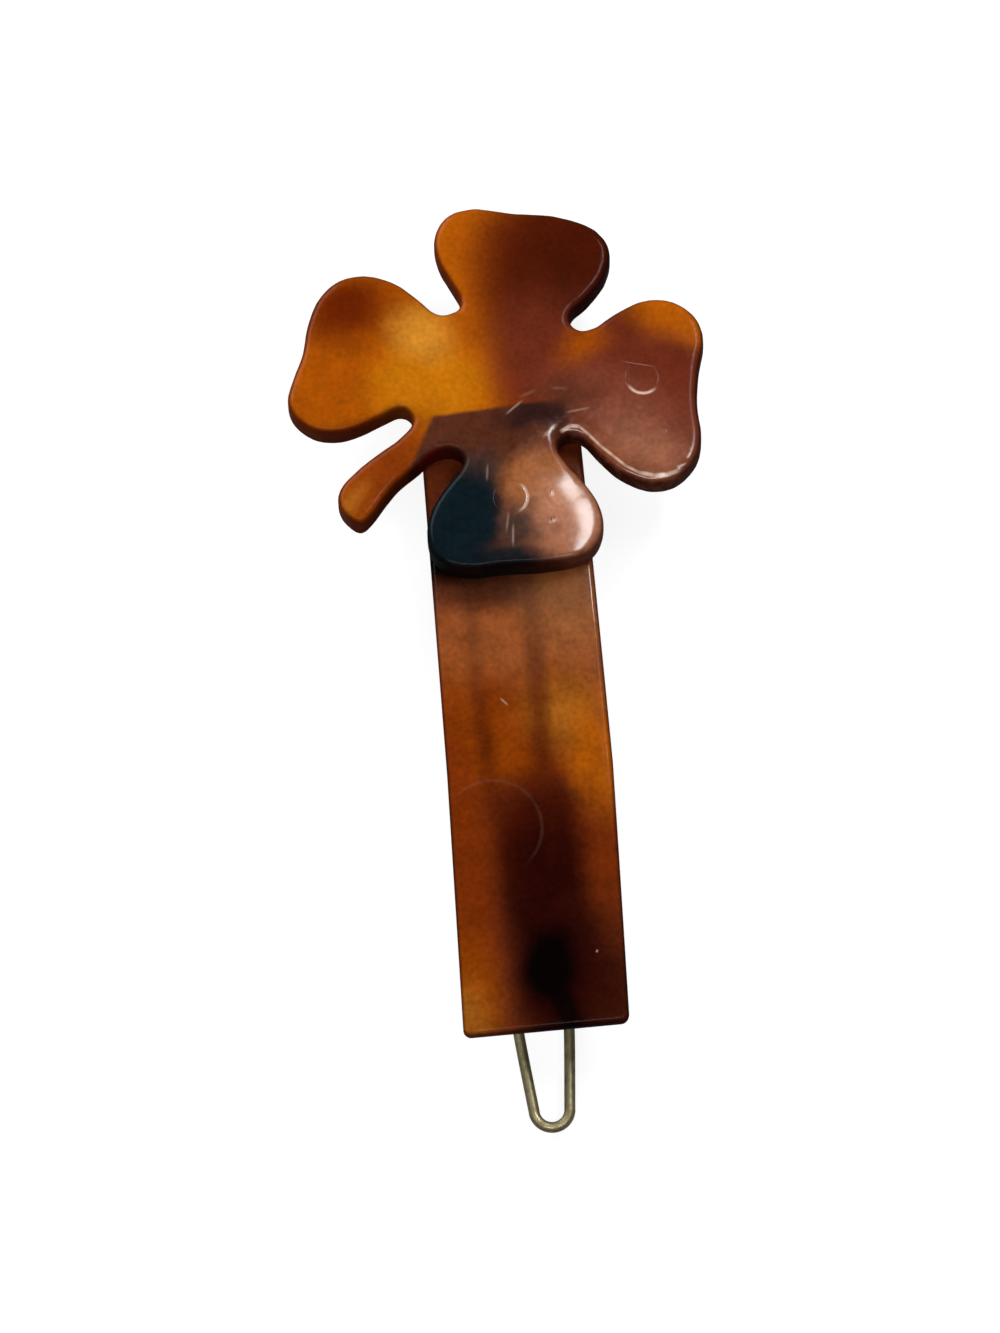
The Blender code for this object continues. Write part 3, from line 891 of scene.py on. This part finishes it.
@dataclass(kw_only=True)
class Clover(PlasticPiece):
    """The thick clover plate: sawn, its rims rounded and polished, with the marks of its making."""

    voxel: float = 0.175
    passes: int = 8
    centre: Place = (0.83, 23.728, 8.6935)
    ring_radius: float = 1.35
    ring_ball: float = 0.6
    ring_depth: float = 0.015
    rings: tuple = ((11.1, -1.5), (-0.35, -11.2))
    dents: tuple = ((3.0, -11.0, 0.32), (2.9, -13.4, 0.28), (12.6, -6.2, 0.2))
    filed_rim: tuple = (
        (4.2, -5.9), (4.6, -5.7), (5.0, -5.6), (5.7, -5.8), (6.4, -6.5), (7.1, -7.4), (8.0, -8.4),
        (9.0, -9.3), (10.2, -10.0), (11.4, -10.4), (12.5, -10.4), (13.4, -10.0),
    )
    worn_rim: tuple = ((5.5, -10.3), (6.2, -11.5), (6.7, -12.7), (6.9, -13.9), (6.8, -15.0), (6.4, -15.9))
    filed: tuple = (0.28, 1.0)
    worn: tuple = (0.37, 3.2)
    rim_reach: float = 0.45
    rim_steps: int = 5
    dent_height: float = 0.05
    dent_shape: tuple = (0.7, 1.4, 0.5)
    # How much the painted shade of the bar behind the plate is stirred.
    bar_shade_stir: float = 2.6
    border_stir: float = 0.3
    patch_edges: tuple = (0.42, 0.7)
    # Where the speckles of the painted sheen begin and end.
    sheen_speckle_edges: tuple = (0.42, 0.72)
    # Straight borders of the painted shade of the bar behind the plate.
    bar_end: Border = Border((-1.2, -3.25), (0.075, -0.997), 0.22)
    bar_side: Border = Border((4.9, -4.0), (1.0, 0.0), 0.9)
    lower_leaf: Border = Border((6.6, -8.6), (-0.75, -0.66), 0.4)
    stem_side: Border = Border((-7.4, -6.0), (0.9, -0.43), 0.3)
    bar_shade_clouds: list[Cloud]

    def on_face(self, across: float, along: float, height: float) -> Vector:
        """A place on the clover's front, in metres, while the plate lies flat."""
        turn = Euler((SEAT_TILT, 0.0, 0.0)).to_matrix()
        return (turn @ Vector(self.centre) + Vector((across, along, height))) * MM

    def ring_cutter(self, spot: Spot) -> Object:
        """A ring that leaves the shallow circular mark of a mould pin."""
        bpy.ops.mesh.primitive_torus_add(
            location=self.on_face(*spot, self.ring_ball - self.ring_depth),
            major_radius=self.ring_radius * MM, minor_radius=self.ring_ball * MM,
            major_segments=64, minor_segments=64,
        )
        return bpy.context.active_object

    def dent_cutter(self, across: float, along: float, radius: float) -> Object:
        """A flattened ball that leaves a shallow dent."""
        spot = self.on_face(across, along, self.dent_height)
        bpy.ops.mesh.primitive_uv_sphere_add(location=spot, radius=radius * MM, segments=24, ring_count=16)
        ball = bpy.context.active_object
        ball.scale = self.dent_shape
        settle(ball)
        return ball

    def make(self) -> Object:
        """Build the plate from the CAD node's outline."""
        plate = copy_node(self.node, self.name)
        tilt(plate, SEAT_TILT)
        remesh(plate, self.voxel, self.passes)
        for rim, (depth, spread) in ((self.filed_rim, self.filed), (self.worn_rim, self.worn)):
            spots = smooth_route([self.on_face(*spot, 0.0) for spot in rim], self.rim_steps)
            press(plate, spots, self.rim_reach, depth, spread)
        polish(plate, self.passes)
        cutters = [self.ring_cutter(spot) for spot in self.rings]
        carve(plate, cutters + [self.dent_cutter(*dent) for dent in self.dents])
        tilt(plate, -SEAT_TILT)
        return plate

    def dress(self, sheet: Sheet) -> None:
        """Fill the sheet with clouded amber plastic, with painted shade where the bar lies behind it and on
        its walls, and a painted sheen where it is freshly polished.
        """
        place = sheet.place(self.centre, SEAT_TILT)
        wall, back = sheet.use(facing, (0.0, math.sin(SEAT_TILT), math.cos(SEAT_TILT)))
        near = sheet.use(stirred, place, self.border_stir)
        # The bar behind the plate is painted as shade on its front and kept off its back.
        mask = sheet.scale(self.bar_shade_mask(sheet, place, near), sheet.maths("SUBTRACT", 1.0, back))
        colour = sheet.blend(mask, self.clouded(sheet, place), self.shade_over_bar(sheet, place))
        colour, fresh = self.shade_walls_and_mark(sheet, place, colour, wall)
        # Pale rose speckles where the polish is fresh: a painted sheen.
        speckles = sheet.step(sheet.noise(near, SHEEN_SPECKLE), *self.sheen_speckle_edges)
        painted_sheen = sheet.scale(sheet.scale(speckles, fresh), SHEEN_SPECKLE.share)
        colour = sheet.blend(painted_sheen, colour, linear(Tint.PALE_ROSE))
        self.plastic.finish(sheet, place, colour, wall, fresh)

    def shade_over_bar(self, sheet: Sheet, place: object) -> NodeSocket:
        """Add the colour of the plastic where it covers the bar, with the bar's painted shade and a painted
        sheen, and return its socket.
        """
        wild = sheet.use(stirred, place, self.bar_shade_stir)
        colour = lay(sheet, wild, linear(Tint.UMBER), self.bar_shade_clouds)
        patches = sheet.step(sheet.noise(wild, PATCHES), *self.patch_edges)
        return sheet.blend(patches, colour, PATCH_SHADE, "MULTIPLY")

    def bar_shade_mask(self, sheet: Sheet, place: object, near: object) -> NodeSocket:
        """Add the mask of where the bar lies behind the plate, which is where its shade is painted.

        Args:
            sheet: The material's nodes.
            place: Socket of the coordinates in millimetres.
            near: The same, slightly stirred.

        Returns:
            Socket of the mask.
        """
        below = self.bar_end.mask(sheet, near)
        inner = sheet.maths("SUBTRACT", 1.0, self.bar_side.mask(sheet, near))
        reach = sheet.maths("MAXIMUM", inner, self.lower_leaf.mask(sheet, place))
        return sheet.scale(sheet.scale(below, reach), self.stem_side.mask(sheet, place))


CLOVER_CLOUDS = [
    Cloud(Tint.CARAMEL, (-11.5, 0.0), (7.5, 8.5), strength=0.6),
    Cloud(Tint.GOLD, (-6.4, -1.0), (4.4, 3.7), strength=0.84),
    Cloud(Tint.HONEY, (-6.8, 3.7), (2.7, 2.0), turn=-30.0, soft=0.7),
    Cloud(Tint.BURNT, (-12.6, 6.6), (3.9, 2.8), turn=20.0, soft=0.8),
    Cloud(Tint.RUST, (-13.4, -5.6), (4.5, 1.4), turn=10.0, soft=0.8, strength=0.7),
    Cloud(Tint.RUST, (7.4, -4.0), (7.8, 10.0), soft=0.3),
    Cloud(Tint.RUST, (1.2, 8.0), (3.8, 7.4), soft=0.7, strength=0.85),
    Cloud(Tint.WINE, (5.8, 8.4), (6.9, 9.2), soft=0.4),
    Cloud(Tint.PLUM, (4.6, 1.2), (5.3, 6.2), soft=0.45),
    Cloud(Tint.DARK_WINE, (6.4, 8.6), (4.0, 4.4), soft=0.6, strength=0.6),
    Cloud(Tint.PLUM, (11.4, -4.4), (7.4, 7.6), soft=0.3),
    Cloud(Tint.CARAMEL, (6.4, 1.6), (2.1, 1.5), turn=30.0, soft=0.8, strength=0.9),
    Cloud(Tint.AMBER, (14.7, 4.6), (3.8, 2.4), turn=-12.0, soft=0.8, strength=0.9),
    Cloud(Tint.PLUM, (11.0, -1.5), (3.5, 3.0), soft=0.8),
    # The dusty plum and rose clouds on the right leaf hold a painted milky sheen over the plastic's colour.
    Cloud(Tint.DUSTY_PLUM, (9.8, -4.6), (5.6, 3.0), turn=-30.0, soft=0.8),
    Cloud(Tint.ROSE, (10.9, -8.0), (3.6, 2.0), turn=-30.0, soft=0.8, strength=0.85),
    Cloud(Tint.UMBER, (5.0, -2.7), (2.2, 1.6), soft=0.8, strength=0.8),
    Cloud(Tint.RUST, (-10.8, -8.4), (2.4, 5.6), turn=-38.0, soft=0.6, strength=0.85),
    # The ochre streak on the stem is a painted highlight.
    Cloud(Tint.OCHRE, (-13.2, -10.7), (0.7, 1.9), turn=-36.0, soft=0.9, strength=0.8),
]

# The plate's colours where the bar lies behind it: painted shade of the bar seen through, with a painted
# milky sheen and highlight on the lower leaf's right and a painted bluish reflection on its near-black left.
BAR_SHADE_CLOUDS = [
    Cloud(Tint.SMOKE, (-3.0, -8.8), (2.2, 1.9), turn=-30.0, soft=0.7),
    Cloud(Tint.INK_PLUM, (2.3, -4.1), (3.0, 1.1), turn=4.0, soft=0.6),
    Cloud(Tint.DUSTY_PLUM, (3.0, -7.6), (1.6, 1.2), soft=0.7, strength=0.8),
    Cloud(Tint.SLATE, (-5.2, -12.8), (4.4, 4.9), soft=0.4),
    Cloud(Tint.ROSE, (4.0, -12.2), (4.4, 4.6), soft=0.35),
    Cloud(Tint.TAN, (1.5, -10.0), (2.7, 2.7), turn=-20.0),
    Cloud(Tint.PALE_ROSE, (4.4, -12.4), (2.8, 2.8), turn=-20.0, soft=0.9, strength=0.8),
    Cloud(Tint.SMOKE, (0.0, -14.0), (1.4, 2.3), soft=0.7),
    Cloud(Tint.SLATE, (-2.4, -16.6), (5.2, 0.9), strength=0.9),
]

CLOVER_MARKS = [
    # Pale arcs painted as highlights on the two pin rings.
    Ring((11.1, -1.5), 1.35, (-0.2, -0.98), lit_from=0.45, width=0.2),
    Ring((-0.35, -11.2), 1.35, (0.99, -0.1), lit_from=0.35, width=0.2, strength=0.6),
    Scratch((-2.15, -8.9), 84.0, 0.9, strength=0.14),
    Scratch((-0.8, -13.3), 80.0, 1.1, half_width=0.16, strength=0.12),
    Scratch((-0.43, -14.5), 86.0, 1.2, strength=0.2),
    Scratch((0.42, -3.35), 38.0, 1.1, strength=0.24),
    Scratch((5.6, -3.95), 8.0, 1.2, strength=0.16),
    Scratch((1.6, -2.2), 20.0, 0.9, half_width=0.22, strength=0.05),
    Scratch((4.2, -1.9), -8.0, 0.8, half_width=0.22, strength=0.05),
    Scratch((3.2, -5.6), 40.0, 1.0, half_width=0.2, strength=0.25),
    Scratch((10.8, -0.25), -14.0, 1.6, half_width=0.07, strength=0.16),
    # Pale spots painted as highlights in the two dents, and a glint painted at the left notch.
    Scratch((2.95, -11.1), 70.0, 0.4, half_width=0.2),
    Scratch((2.9, -13.5), 20.0, 0.5, half_width=0.2),
    Scratch((-5.7, -9.4), 35.0, 0.5, half_width=0.12),
    # A highlight painted along the right leaf's lower rim.
    *rim_highlight([(4.1, -5.6), (4.9, -5.2), (5.6, -5.3)], 0.22, 0.7),
    *rim_highlight([(5.6, -5.3), (6.3, -6.0), (7.2, -7.1), (8.2, -8.1), (9.1, -9.0), (10.2, -9.7)], 0.16, 0.62),
    *rim_highlight([(10.2, -9.7), (11.4, -10.05), (12.4, -10.05), (13.4, -9.7)], 0.24, 0.75),
]

# A deep red laid in as the painted shade of the wall in the notch by the stem.
CLOVER_NOTCHES = [Cloud(Tint.DEEP_RED, (-6.0, -7.6), (1.6, 1.2))]

CLOVER_POLISH = [
    Cloud(Tint.POLISHED, (7.4, -10.4), (7.7, 6.7), soft=0.2),
    Cloud(Tint.DULL, (4.0, -7.6), (1.3, 2.0), soft=0.4),
]

BAR_MARKS = [
    # A faint pale arc painted as a highlight on a ring mark.
    Ring((-2.9, -14.5), 3.95, (0.7, 0.7), lit_from=-0.2, width=0.22, strength=0.022),
    Scratch((-1.28, -4.04), -47.0, 0.5, half_width=0.12, strength=0.35),
    Scratch((4.74, -25.06), 60.0, 0.16, half_width=0.12, strength=0.4),
]


@dataclass(kw_only=True)
class Bar(PlasticPiece):
    """The bowed strip: a flat blank with rounded edges, bent from the seat to its tip."""

    width: float = 13.4
    thickness: float = 2.2
    seat_length: float = 14.5
    bowed_length: float = 38.05
    bow: float = math.radians(14.0)
    bow_start: Place = (0.29, 6.88, 7.689)
    left_shares: tuple = ((-0.507, -1.0), (-0.49, 0.435), (-0.5, 1.0))
    right_shares: tuple = ((0.463, -1.0), (0.512, 0.435), (0.498, 1.0))
    seat_skew: float = math.radians(5.0)
    tip_skew: float = math.radians(1.4)
    seat_corner: float = 1.2
    tip_corner: float = 0.65
    corner_segments: int = 6
    corner_zones: Spot = (0.7, 0.9)
    edge_round: float = 0.45
    edge_segments: int = 4
    edge_angle: float = 50.0
    cuts: int = 90
    shadows: list[Cloud]

    def corner_place(self, side: float, run: float) -> Spot:
        """Where a corner of the flat blank lies, as across and up, in millimetres."""
        length = self.bowed_length if run > 0 else self.seat_length
        skew = {-1.0: self.seat_skew, 1.0: self.tip_skew}.get(run, 0.0)
        across = self.width * side
        return across, -length * run + across * math.tan(skew)

    def blank(self) -> Object:
        """The flat blank, standing with its tip down and its back towards +Y."""
        bpy.ops.mesh.primitive_cube_add(size=MM)
        blank = bpy.context.active_object
        blank.scale = (self.width, self.thickness, self.bowed_length + self.seat_length)
        blank.location = (0.0, self.thickness * MM / 2, (self.seat_length - self.bowed_length) * MM / 2)
        settle(blank)
        runs = [run for _, run in self.left_shares]
        levels = [self.seat_length * MM] + [-self.bowed_length * run * MM for run in runs[1:]]
        cut_across(blank, levels[1:2])
        near = self.edge_round * MM / 2
        for side, run in self.left_shares + self.right_shares:
            x, z = math.copysign(self.width * MM / 2, side), levels[runs.index(run)]
            edit_where(blank, "VERT", lambda spot: abs(spot.x - x) < near and abs(spot.z - z) < near)
            across, up = self.corner_place(side, run)
            bpy.ops.transform.translate(value=(across * MM - x, 0.0, up * MM - z))
            end_edit()
        return blank

    def round_corners(self, blank: Object) -> None:
        """Bevel the blank's upright corner edges, those at the tip first."""
        near = self.edge_round * MM / 4
        seat = self.seat_length * self.corner_zones[0] * MM
        tip = -self.bowed_length * self.corner_zones[1] * MM
        for radius, at_end in ((self.tip_corner, lambda z: z < tip), (self.seat_corner, lambda z: z > seat)):
            edit_where(blank, "EDGE", lambda a, b: abs(a.x - b.x) + abs(a.z - b.z) < near and at_end(a.z))
            bpy.ops.mesh.bevel(offset=radius * MM, segments=self.corner_segments, affect="EDGES")
            end_edit()

    def make(self) -> Object:
        """Build the bar from its blank."""
        bar = self.blank()
        self.round_corners(bar)
        round_edges(bar, self.edge_round, self.edge_segments, self.edge_angle)
        heights = [vertex.co.z for vertex in bar.data.vertices]
        low, high = min(heights), max(heights)
        cut_across(bar, [low + (high - low) * cut / self.cuts for cut in range(1, self.cuts)])
        limits = ((-self.bowed_length * MM - low) / (high - low), -low / (high - low))
        modify(bar, "SIMPLE_DEFORM", deform_method="BEND", deform_axis="X", limits=limits, angle=self.bow)
        bar.location = Vector(self.bow_start) * MM
        tilt(bar, -QUARTER_TURN - SEAT_TILT)
        return bar

    def dress(self, sheet: Sheet) -> None:
        """Fill the sheet with brown clouded plastic, with painted shadows of the wire's legs, the clover and
        the catch, painted shade on its walls and down its lower middle, and a painted sheen at its top.
        """
        place = sheet.place()
        wall, _ = sheet.use(facing, (0.0, 0.0, 1.0))
        colour = lay(sheet, place, self.clouded(sheet, place), self.shadows)
        colour, fresh = self.shade_walls_and_mark(sheet, place, colour, wall)
        self.plastic.finish(sheet, place, colour, wall, fresh)


BAR_CLOUDS = [
    # The clay cloud, and the tan one at the top right, hold a painted milky sheen as well as the plastic's
    # colour.
    Cloud(Tint.CLAY, (0.5, 0.0), (8.0, 6.5), strength=0.9),
    # The umber and near-black clouds along the top are a painted shadow of the clover on the bar.
    Cloud(Tint.UMBER, (-1.6, 5.8), (7.0, 1.8), soft=0.6, strength=0.8),
    Cloud(Tint.SOOT, (-4.0, 8.2), (7.0, 1.6), soft=0.6),
    Cloud(Tint.TAN, (4.4, 4.2), (3.4, 3.9), soft=0.6),
    Cloud(Tint.RUST, (0.0, -6.5), (9.0, 4.6)),
    Cloud(Tint.OCHRE, (4.2, -5.6), (3.8, 2.8), turn=-30.0, soft=0.8),
    Cloud(Tint.CARAMEL, (-1.6, -8.8), (3.0, 2.2), soft=0.8, strength=0.5),
    Cloud(Tint.CARAMEL, (-5.0, -6.0), (3.4, 6.0), soft=0.7, strength=0.5),
    # The wine and maroon clouds darken the lower middle of the bar: painted shade where the wire and catch
    # lie behind it.
    Cloud(Tint.WINE, (0.8, -15.5), (4.8, 4.8), soft=0.6),
    Cloud(Tint.MAROON, (1.6, -21.0), (5.0, 8.4), strength=0.85),
    Cloud(Tint.MAROON, (0.9, -25.5), (2.6, 9.0), soft=0.7, strength=0.9),
    Cloud(Tint.MAROON, (3.6, -28.5), (4.4, 4.6), strength=0.8),
    Cloud(Tint.RUST, (-6.0, -18.0), (2.9, 13.0), soft=0.45),
    Cloud(Tint.CARAMEL, (-6.8, -29.0), (3.4, 5.4), soft=0.6),
    Cloud(Tint.OCHRE, (-6.3, -29.6), (1.8, 2.4), soft=0.9),
    Cloud(Tint.RUST, (6.8, -16.5), (2.4, 5.6), soft=0.7, strength=0.9),
    Cloud(Tint.AMBER, (6.3, -9.0), (2.4, 4.2), soft=0.6),
    # Near-black painted shade where the catch lies behind the bar.
    Cloud(Tint.SOOT, (0.9, -25.9), (2.2, 2.9), turn=-8.0, soft=0.4),
    Cloud(Tint.SOOT, (1.9, -29.4), (0.9, 2.6), turn=12.0, soft=0.6, strength=0.9),
]

BAR_POLISH = [Cloud(Tint.POLISHED, (4.0, 7.4), (6.0, 4.4), soft=0.4)]

# The dark of the wire's two legs, which show through the real bar.
WIRE_SHADOWS = [
    Cloud(Tint.UMBER, (-3.4, 1.6), (0.65, 6.5), soft=0.9, strength=0.4),
    Cloud(Tint.WINE, (-3.0, -7.6), (0.75, 5.6), turn=4.0, soft=0.9, strength=0.6),
    Cloud(Tint.UMBER, (1.5, 1.0), (0.8, 7.0), soft=0.9, strength=0.5),
    Cloud(Tint.WINE, (1.55, -7.8), (0.8, 5.6), soft=0.9, strength=0.65),
]


@dataclass(kw_only=True)
class SmallPiece(PlasticPiece):
    """A small piece cemented behind the bar, with its edges rubbed soft."""

    voxel: float = 0.1
    passes: int = 3

    def make(self) -> Object:
        """Build the piece from its CAD node."""
        item = copy_node(self.node, self.name)
        remesh(item, self.voxel, self.passes)
        return item

    def dress(self, sheet: Sheet) -> None:
        """Fill the sheet with the piece's clouded plastic."""
        place = sheet.place()
        self.plastic.finish(sheet, place, self.clouded(sheet, place))


HINGE_BLOCK_CLOUDS = [
    Cloud(Tint.RUST, (0.5, 13.0), (1.8, 1.6), soft=0.7),
    Cloud(Tint.DARK_WINE, (-2.2, 10.0), (1.4, 1.6), soft=0.7),
]
CATCH_CLOUDS = [Cloud(Tint.WINE, (1.0, -25.8), (1.2, 1.6), soft=0.7)]


@dataclass(kw_only=True)
class Wire(Piece):
    """The bail: one wire bent into a hairpin, with its two ends turned into the block."""

    diameter: float = 0.9
    hinge_spread: float = 5.0
    catch_spread: float = 3.9
    tip_radius: float = 1.45
    corner_radius: float = 0.6
    turned_end: float = 2.15
    reach: float = 49.78
    catch_run: float = 36.48
    catch_length: float = 4.4
    start_shares: tuple = ((0.12, 1.0), (0.24, 1.0), (0.35, 0.92))
    waist_share: float = 0.46
    end_share: float = 0.83
    end_width_share: float = 1.07
    corner_steps: int = 8
    leg_steps: int = 6
    loop_steps: int = 32
    sides: int = 6
    end_round: float = 0.08
    end_segments: int = 2
    end_angle: float = 60.0
    brass: AgedBrass = AgedBrass()

    def route(self) -> list[Vector]:
        """The whole centreline on the hinge's own axes, in millimetres."""
        half, waist, catch = self.hinge_spread / 2, self.catch_spread / 2, self.catch_length / 2
        stops = [(half, self.corner_radius)]
        stops += [(half * wide, self.reach * far) for far, wide in self.start_shares]
        stops += [
            (waist, self.reach * self.waist_share),
            (waist, self.catch_run - catch),
            (waist, self.catch_run + catch),
            (waist * self.end_width_share, self.reach * self.end_share),
            (self.tip_radius, self.reach - self.tip_radius),
        ]
        leg = smooth_route([Vector((across, -run, 0.0)) for across, run in stops], self.leg_steps)
        corner = Vector((half - self.corner_radius, -self.corner_radius, 0.0))
        right = [Vector((half - self.turned_end, 0.0, 0.0))]
        right += arc(corner, self.corner_radius, QUARTER_TURN, 0.0, self.corner_steps) + leg[:-1]
        middle = Vector((0.0, self.tip_radius - self.reach, 0.0))
        loop = arc(middle, self.tip_radius, 0.0, -math.pi, self.loop_steps)
        left = [Vector((-point.x, point.y, 0.0)) for point in reversed(right + loop[:1])]
        return right + loop + left

    def make(self) -> Object:
        """Draw the wire's route point by point, and give it its thickness."""
        hinge = frame["joints"][0]
        axis = Vector(hinge["axis"])
        turn = Matrix.Rotation(math.atan2(axis.y, axis.x), 3, "Z")
        places = [turn @ point * MM + Vector(hinge["pos_m"]) for point in self.route()]
        bpy.ops.mesh.primitive_plane_add(size=MM, location=places[0])
        wire = bpy.context.active_object
        settle(wire)
        begin_edit(wire)
        bpy.ops.mesh.merge(type="CENTER")
        for before, after in zip(places, places[1:]):
            bpy.ops.mesh.extrude_region_move(TRANSFORM_OT_translate={"value": after - before})
        end_edit()
        pick_only(wire)
        bpy.ops.object.convert(target="CURVE")
        curve = bpy.context.active_object.data
        curve.dimensions = "3D"
        curve.bevel_depth = self.diameter * MM / 2
        curve.bevel_resolution = self.sides
        curve.use_fill_caps = True
        bpy.ops.object.convert(target="MESH")
        wire = bpy.context.active_object
        weld(wire)
        round_edges(wire, self.end_round, self.end_segments, self.end_angle)
        return wire

    def dress(self, sheet: Sheet) -> None:
        """Fill the sheet with aged brass."""
        self.brass.finish(sheet, sheet.place())


@dataclass(frozen=True)
class Lamp:
    """A soft lamp, placed by its lean from the vertical and its heading from +X."""

    name: str
    lean: float
    heading: float
    share: float
    size: Spot = (0.4, 0.4)
    spin: float = 0.0
    distance: float = 0.8

    def place(self) -> None:
        """Hang the lamp so that it gives its share of the light on a level face."""
        lean, heading = math.radians(self.lean), math.radians(self.heading)
        flat = math.sin(lean)
        way = Vector((flat * math.cos(heading), flat * math.sin(heading), math.cos(lean)))
        bpy.ops.object.light_add(type="AREA", location=way * self.distance)
        lamp = bpy.context.active_object
        lamp.name = self.name
        spin = Euler((0.0, 0.0, math.radians(self.spin))).to_quaternion()
        lamp.rotation_euler = (way.to_track_quat("Z", "Y") @ spin).to_euler()
        lamp.data.shape = "RECTANGLE"
        lamp.data.size, lamp.data.size_y = self.size
        lamp.data.energy = self.share * math.pi ** 2 * self.distance ** 2 / math.cos(lean)


@dataclass
class Studio:
    """The pale floor, the soft light and the camera."""

    floor_size: float = 4.0
    floor_grey: float = 0.24
    floor_glow: float = 0.87
    ceiling: float = 0.02
    horizon: float = 0.2
    horizon_band: Spot = (0.35, 0.05)
    azimuth: float = -4.0
    elevation: float = 76.0
    distance: float = 0.7
    target: Place = (-0.001297, 0.000333, 0.002835)
    lens: float = 154.389
    sensor: float = 24.0
    lamps: tuple = (
        Lamp("rim_lamp", 20.0, 254.0, 0.4, size=(0.74, 0.1), spin=11.0),
        Lamp("glow_lamp", 34.0, 51.0, 0.38, size=(0.4, 0.15), spin=-52.0),
        Lamp("fill_lamp", 62.0, 126.0, 0.38, size=(0.6, 0.45)),
        Lamp("sheen_lamp", 27.0, 80.0, 0.0015, size=(0.16, 0.16)),
    )

    def seen(self, sheet: Sheet) -> NodeSocket:
        """Mask of the rays that see the background: from the camera, or through anything clear."""
        rays = sheet.node("LightPath").outputs
        return sheet.maths("MAXIMUM", rays["Is Camera Ray"], rays["Is Transmission Ray"])

    def lay_floor(self) -> None:
        """Lay the white floor, which keeps the clip's shadow."""
        bpy.ops.mesh.primitive_plane_add(size=self.floor_size)
        floor = bpy.context.active_object
        floor.name = "floor"
        sheet = new_material(floor, "white_floor")
        matt = sheet.node("BsdfDiffuse", (self.floor_grey,) * 3 + (1.0,)).outputs[0]
        shining = sheet.scale(self.seen(sheet), self.floor_glow)
        glow = sheet.fill(sheet.node("Emission"), {"Strength": shining})
        both = sheet.node("AddShader", matt, glow.outputs[0])
        sheet.node("OutputMaterial", both.outputs[0])

    def hang_world(self) -> None:
        """A dim ceiling that brightens towards a white horizon."""
        world = bpy.data.worlds.new("studio")
        bpy.context.scene.world = world
        world.use_nodes = True
        sheet = Sheet(world.node_tree)
        way = sheet.node("SeparateXYZ", sheet.node("TexCoord").outputs["Generated"])
        low = sheet.step(way.outputs["Z"], *self.horizon_band)
        bright = sheet.maths("ADD", self.horizon, sheet.scale(self.seen(sheet), 1.0 - self.horizon))
        rise = sheet.scale(low, sheet.maths("SUBTRACT", bright, self.ceiling))
        strength = sheet.maths("ADD", self.ceiling, rise)
        background = sheet.fill(sheet.node("Background"), {"Strength": strength})
        sheet.node("OutputWorld", background.outputs[0])

    def set_camera(self) -> None:
        """Set the camera at the photograph's viewing angle."""
        azimuth, elevation = math.radians(self.azimuth), math.radians(self.elevation)
        flat = math.cos(elevation)
        way = Vector((flat * math.sin(azimuth), -flat * math.cos(azimuth), math.sin(elevation)))
        bpy.ops.object.camera_add(location=Vector(self.target) + way * self.distance)
        camera = bpy.context.active_object
        camera.name = "camera"
        camera.rotation_euler = (QUARTER_TURN - elevation, 0.0, azimuth)
        camera.data.sensor_fit = "VERTICAL"
        camera.data.sensor_height = self.sensor
        camera.data.lens = self.lens
        camera.data.clip_start = 0.01
        bpy.context.scene.camera = camera

    def set_up(self) -> None:
        """Set up the whole studio."""
        self.set_camera()
        self.lay_floor()
        self.hang_world()
        for lamp in self.lamps:
            lamp.place()
        bpy.context.scene.view_settings.view_transform = "Standard"


def main() -> None:
    """Build, dress and place every piece of the clip."""
    logging.basicConfig(level=logging.INFO, format="%(name)s %(message)s")
    Studio().set_up()
    pieces = [
        Clover(
            node="clover_plate", name="clover", look="clover_plastic", slot=Slot.CLOVER,
            plastic=Plastic(level=0.9, gloss=1.0, gloss_roughness=0.16, mottle=1.15),
            ground=Tint.AMBER, stir=1.2, clouds=CLOVER_CLOUDS, bar_shade_clouds=BAR_SHADE_CLOUDS,
            notches=CLOVER_NOTCHES, marks=CLOVER_MARKS, polished=CLOVER_POLISH, wall_shade_share=0.85,
        ),
        Bar(
            node="bar", name="bowed_bar", look="bar_plastic", slot=Slot.BAR,
            plastic=Plastic(level=0.79, gloss=0.9, mottle=1.3),
            ground=Tint.BRICK, stir=1.0, clouds=BAR_CLOUDS, shadows=WIRE_SHADOWS,
            marks=BAR_MARKS, polished=BAR_POLISH,
        ),
        SmallPiece(
            node="hinge_block", name="drilled_block", look="block_plastic", slot=Slot.BLOCK,
            plastic=Plastic(roughness=0.3, gloss=0.3),
            ground=Tint.BRICK, stir=1.5, clouds=HINGE_BLOCK_CLOUDS,
        ),
        SmallPiece(
            node="catch_post", name="snap_catch", look="catch_plastic", slot=Slot.CATCH,
            plastic=Plastic(roughness=0.35, gloss=0.3),
            ground=Tint.MAROON, stir=1.5, clouds=CATCH_CLOUDS,
        ),
        Wire(
            node="wire_bail", name="spring_wire", look="aged_wire", slot=Slot.WIRE, body=Body.BAIL,
            smooth_below=40.0,
        ),
    ]
    for piece in pieces:
        piece.put_in_place()
    bpy.context.view_layer.update()


if __name__ == "__main__":
    main()
